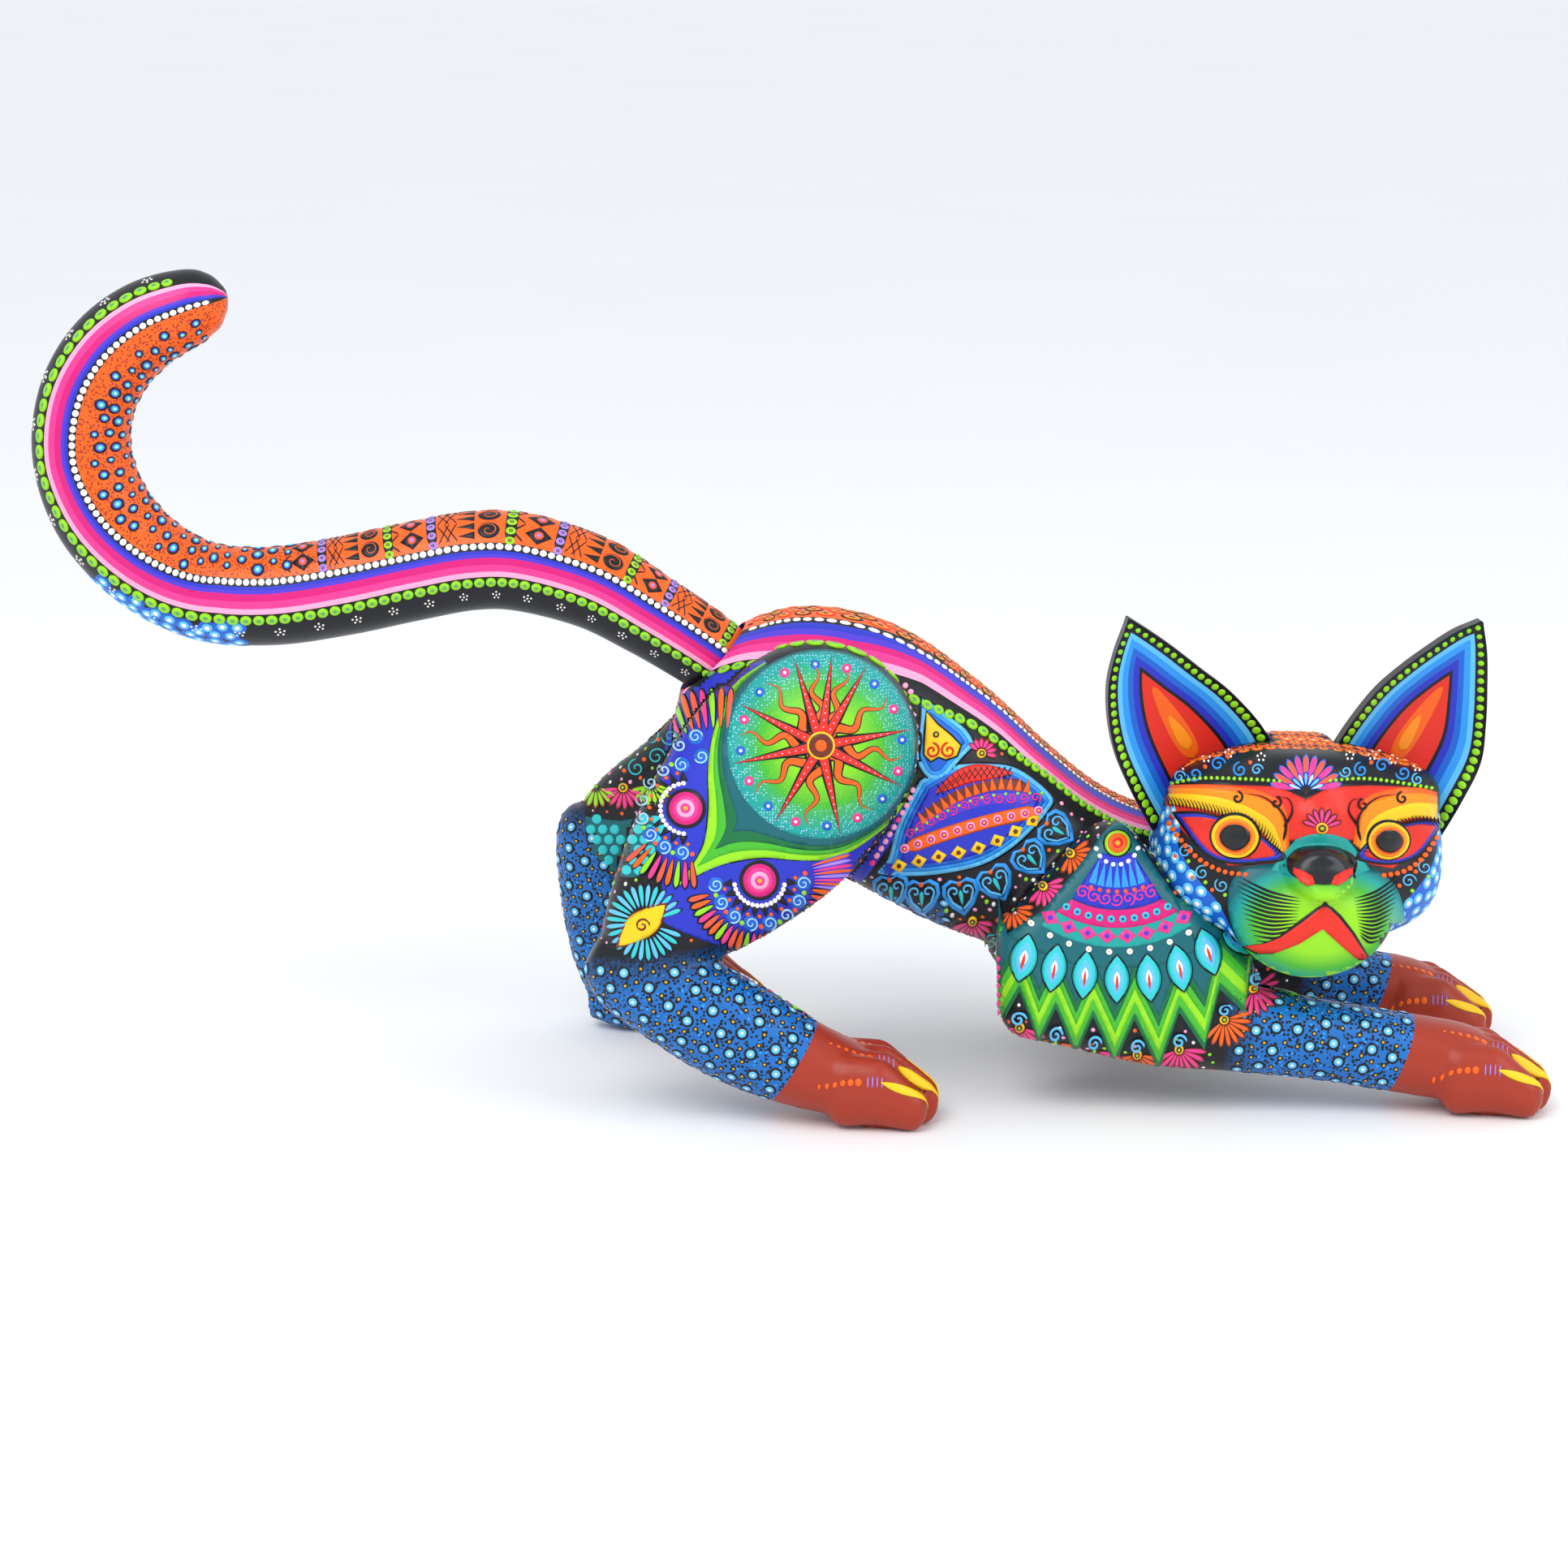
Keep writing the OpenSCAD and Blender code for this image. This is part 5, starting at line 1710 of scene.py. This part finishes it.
def tail_scales(target):
    """A patch of pale scales under the bend of the tail."""
    run, angle = TAIL_LINE.locate(target.points)
    mask = (angle < -31 - tail_drop(run)) & (run > 188) & (run < 236)
    for spot in spots(target, scatter(target, mask, 4.0, 51)):
        disc(spot, (0, 0), 3.6, "blue", 0, dome=0.02)
        drops(spot, (0, 0), 2.1, ("light_blue", "white"), 2, (1, 0.5), dome=0.06)


# Millimetres between the meadow's motifs, between its beads, and from both to what is painted already.
MOTIF_GAP = 11.5
BEAD_GAP = 4.2
MOTIF_CLEAR = 6.4
PAINT_CLEAR = 1.5
PAINT_CLEAR_BIG = 6


def meadow(target, mask, seed):
    """Shells, spirals and ringed drops strewn over the ground between the main motifs."""
    painted = KDTree(sum(coat["count"] for coat in COATS.values()))
    for i, place in enumerate(np.vstack([part for coat in COATS.values() for part in coat["points"]])):
        painted.insert(place, i)
    painted.balance()
    free = [i for i in np.flatnonzero(mask) if painted.find(target.points[i])[2] > PAINT_CLEAR]
    open_mask = np.zeros(len(mask), bool)
    open_mask[free] = True
    rng = random.Random(seed)
    big = [i for i in scatter(target, open_mask, MOTIF_GAP, seed)
           if painted.find(target.points[i])[2] > PAINT_CLEAR_BIG]
    for spot in spots(target, big):
        tint = rng.choice(("hot_pink", "orange", "lime", "turquoise", "light_blue"))
        if rng.random() < 0.5:
            shell(spot, (0, 0), rng.uniform(0, 360), tint, 5.6)
        else:
            spiral(spot, (0, 0), 4.0, tint, 1.0, 1.8, rng.uniform(0, 360), layer=2)
    taken = [target.points[i].tolist() for i in big]
    for i in scatter(target, open_mask, BEAD_GAP, seed + 1, taken):
        if all(math.dist(target.points[i], place) > MOTIF_CLEAR for place in taken):
            spot = Spot(target, target.points[i], target.normals[i])
            radius = rng.uniform(0.5, 0.9)
            disc(spot, (0, 0), radius, rng.choice(("white", "orange", "lime", "light_pink")))


def bare_body(places):
    """Near the tail's seat, where the tail comes out of the body."""
    offset = places - TAIL_SEAT
    along = offset @ TAIL_OUT
    aside = np.linalg.norm(offset - along[:, None] * TAIL_OUT, axis=1)
    return (aside < TAIL_SEAT_R + 1) & (along > -30)


def bare_head(places):
    """On the flat seats of the ears."""
    found = np.zeros(len(places), bool)
    for side in EAR_ROWS:
        offset = places - from_ear(side, [[0, 0, 0]])[0]
        across, back, up = (offset @ ear_way(side, way) for way in ([1, 0, 0], [0, 1, 0], [0, 0, 1]))
        found |= (np.abs(up) < 0.6) & (back > -EAR_RIM - 1) & (np.abs(across) < POCKET_HALF + 1)
    return found


TORSO_RADIUS = 40
TAIL_RADIUS = 16.5
MEADOW_TOP = 150


def paint_all(targets):
    """Every coat on every piece; the left side of the body and tail mirrors the right."""
    torso, haunches, arms = (targets[n] for n in ("body", "haunches", "arms"))
    points = torso.points
    blue = (stipple_depth(points) > 5) & (paw_distance(points) < -2) & (points[:, 2] > 2)
    hind = points[:, 0] < 60
    for mirrored in (False, True):
        back_bands(Wrap(torso, TORSO_LINE, TORSO_RADIUS, mirrored), mirrored)
        haunch(Sheet(haunches, HAUNCH_AT, mirrored))
        far_thigh(Sheet(haunches, HAUNCH_AT, mirrored))
        flank(Sheet(torso, FLANK_AT, mirrored))
        cape(Sheet(arms, CAPE_AT, mirrored))
        tail_rows(Wrap(targets["tail"], TAIL_LINE, TAIL_RADIUS, mirrored), mirrored)
    tail_panel(Wrap(targets["tail"], TAIL_LINE, TAIL_RADIUS))
    leg_drops(haunches, blue & hind, 11)
    leg_drops(arms, blue & ~hind, 21)
    for leg in PAWS:
        paw_paint(haunches if "hind" in leg else arms, leg)
    face(Sheet(targets["head"], FACE_AT))
    cheeks(targets["head"])
    crown_paint(targets["head"])
    for side, rows in EAR_ROWS.items():
        ear_paint(targets["ear_" + side], side, rows)
    tail_scales(targets["tail"])
    _, angle = TORSO_LINE.locate(points)
    ground = (stipple_depth(points) < -3) & (paw_distance(points) < -3) & (points[:, 2] < MEADOW_TOP)
    meadow(torso, ground & (angle < band_end(points[:, 0]) - 4) & ~bare_body(points), 61)
    bearing, elevation = head_angles(targets["head"].points)
    hidden = bare_head(targets["head"].points)
    behind = (cheek_depth(bearing, elevation) < -2) & ((np.abs(bearing) > 100) | (elevation < -62))
    meadow(targets["head"], ~hidden & behind, 71)


def place_coats():
    """One raised piece for each colour on each carved piece."""
    for (name, tint), coat in COATS.items():
        piece = make_mesh(f"paint_{name}_{tint}", np.vstack(coat["points"]), coat["faces"])
        keep_field(piece, "shade", np.concatenate(coat["shade"]))
        piece.data.shade_smooth()
        piece.data.materials.append(coat_material(f"paint_{name}_{tint}", tint))
        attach(piece, coat["target"].carrier)


bpy.context.scene.view_settings.view_transform = "Standard"
make_camera()
make_world(strength=1.0)
make_light("key", (-0.6, -1.2, 1.5), size=1.2, power=16)
make_light("fill", (1.2, -0.8, 0.9), size=1.0, power=6)

body = make_body()
head = make_head()
tail = make_mesh("carved_tail", *loft(TAIL_ROWS, 72, 10))
smooth_shading(tail)
ears = {side: make_ear(side) for side in EAR_ROWS}
body_fields(body)
tail_fields(tail)
head_fields(head)

body.data.materials.append(body_material())
head.data.materials.append(head_material())
tail.data.materials.append(tail_material())
for ear in ears.values():
    ear.data.materials.append(ear_material())

targets = {"body": Target("body", body, "carcass", "body_paint", bare_body),
           "haunches": Target("haunches", body, "carcass", "haunch_paint", bare_body),
           "arms": Target("arms", body, "carcass", "leg_paint", bare_body),
           "head": Target("head", head, "carcass", "head_paint", bare_head),
           "tail": Target("tail", tail, "tail", "tail_paint")}
for side, ear in ears.items():
    targets["ear_" + side] = Target("ear_" + side, ear, "ear_" + side, "ear_paint")
paint_all(targets)
place_coats()

FLOOR_HALF = 25000
corners = np.array([(-1, -1, 0), (1, -1, 0), (1, 1, 0), (-1, 1, 0)]) * FLOOR_HALF
floor = make_mesh("floor", corners, [(0, 1, 2, 3)])
floor.data.materials.append(floor_material())

wood = wood_material()
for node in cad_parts.values():
    node.data.materials.clear()
    node.data.materials.append(wood)

for piece, carrier, slot, nodes in (
        (body, "carcass", "body_paint", ("torso",) + LEG_NODES), (head, "carcass", "head_paint", ("head",)),
        (tail, "tail", "tail_paint", ("tail",)), (ears["right"], "ear_right", "ear_paint", ("ear_right",)),
        (ears["left"], "ear_left", "ear_paint", ("ear_left",))):
    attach(piece, carrier)
    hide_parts(*nodes)
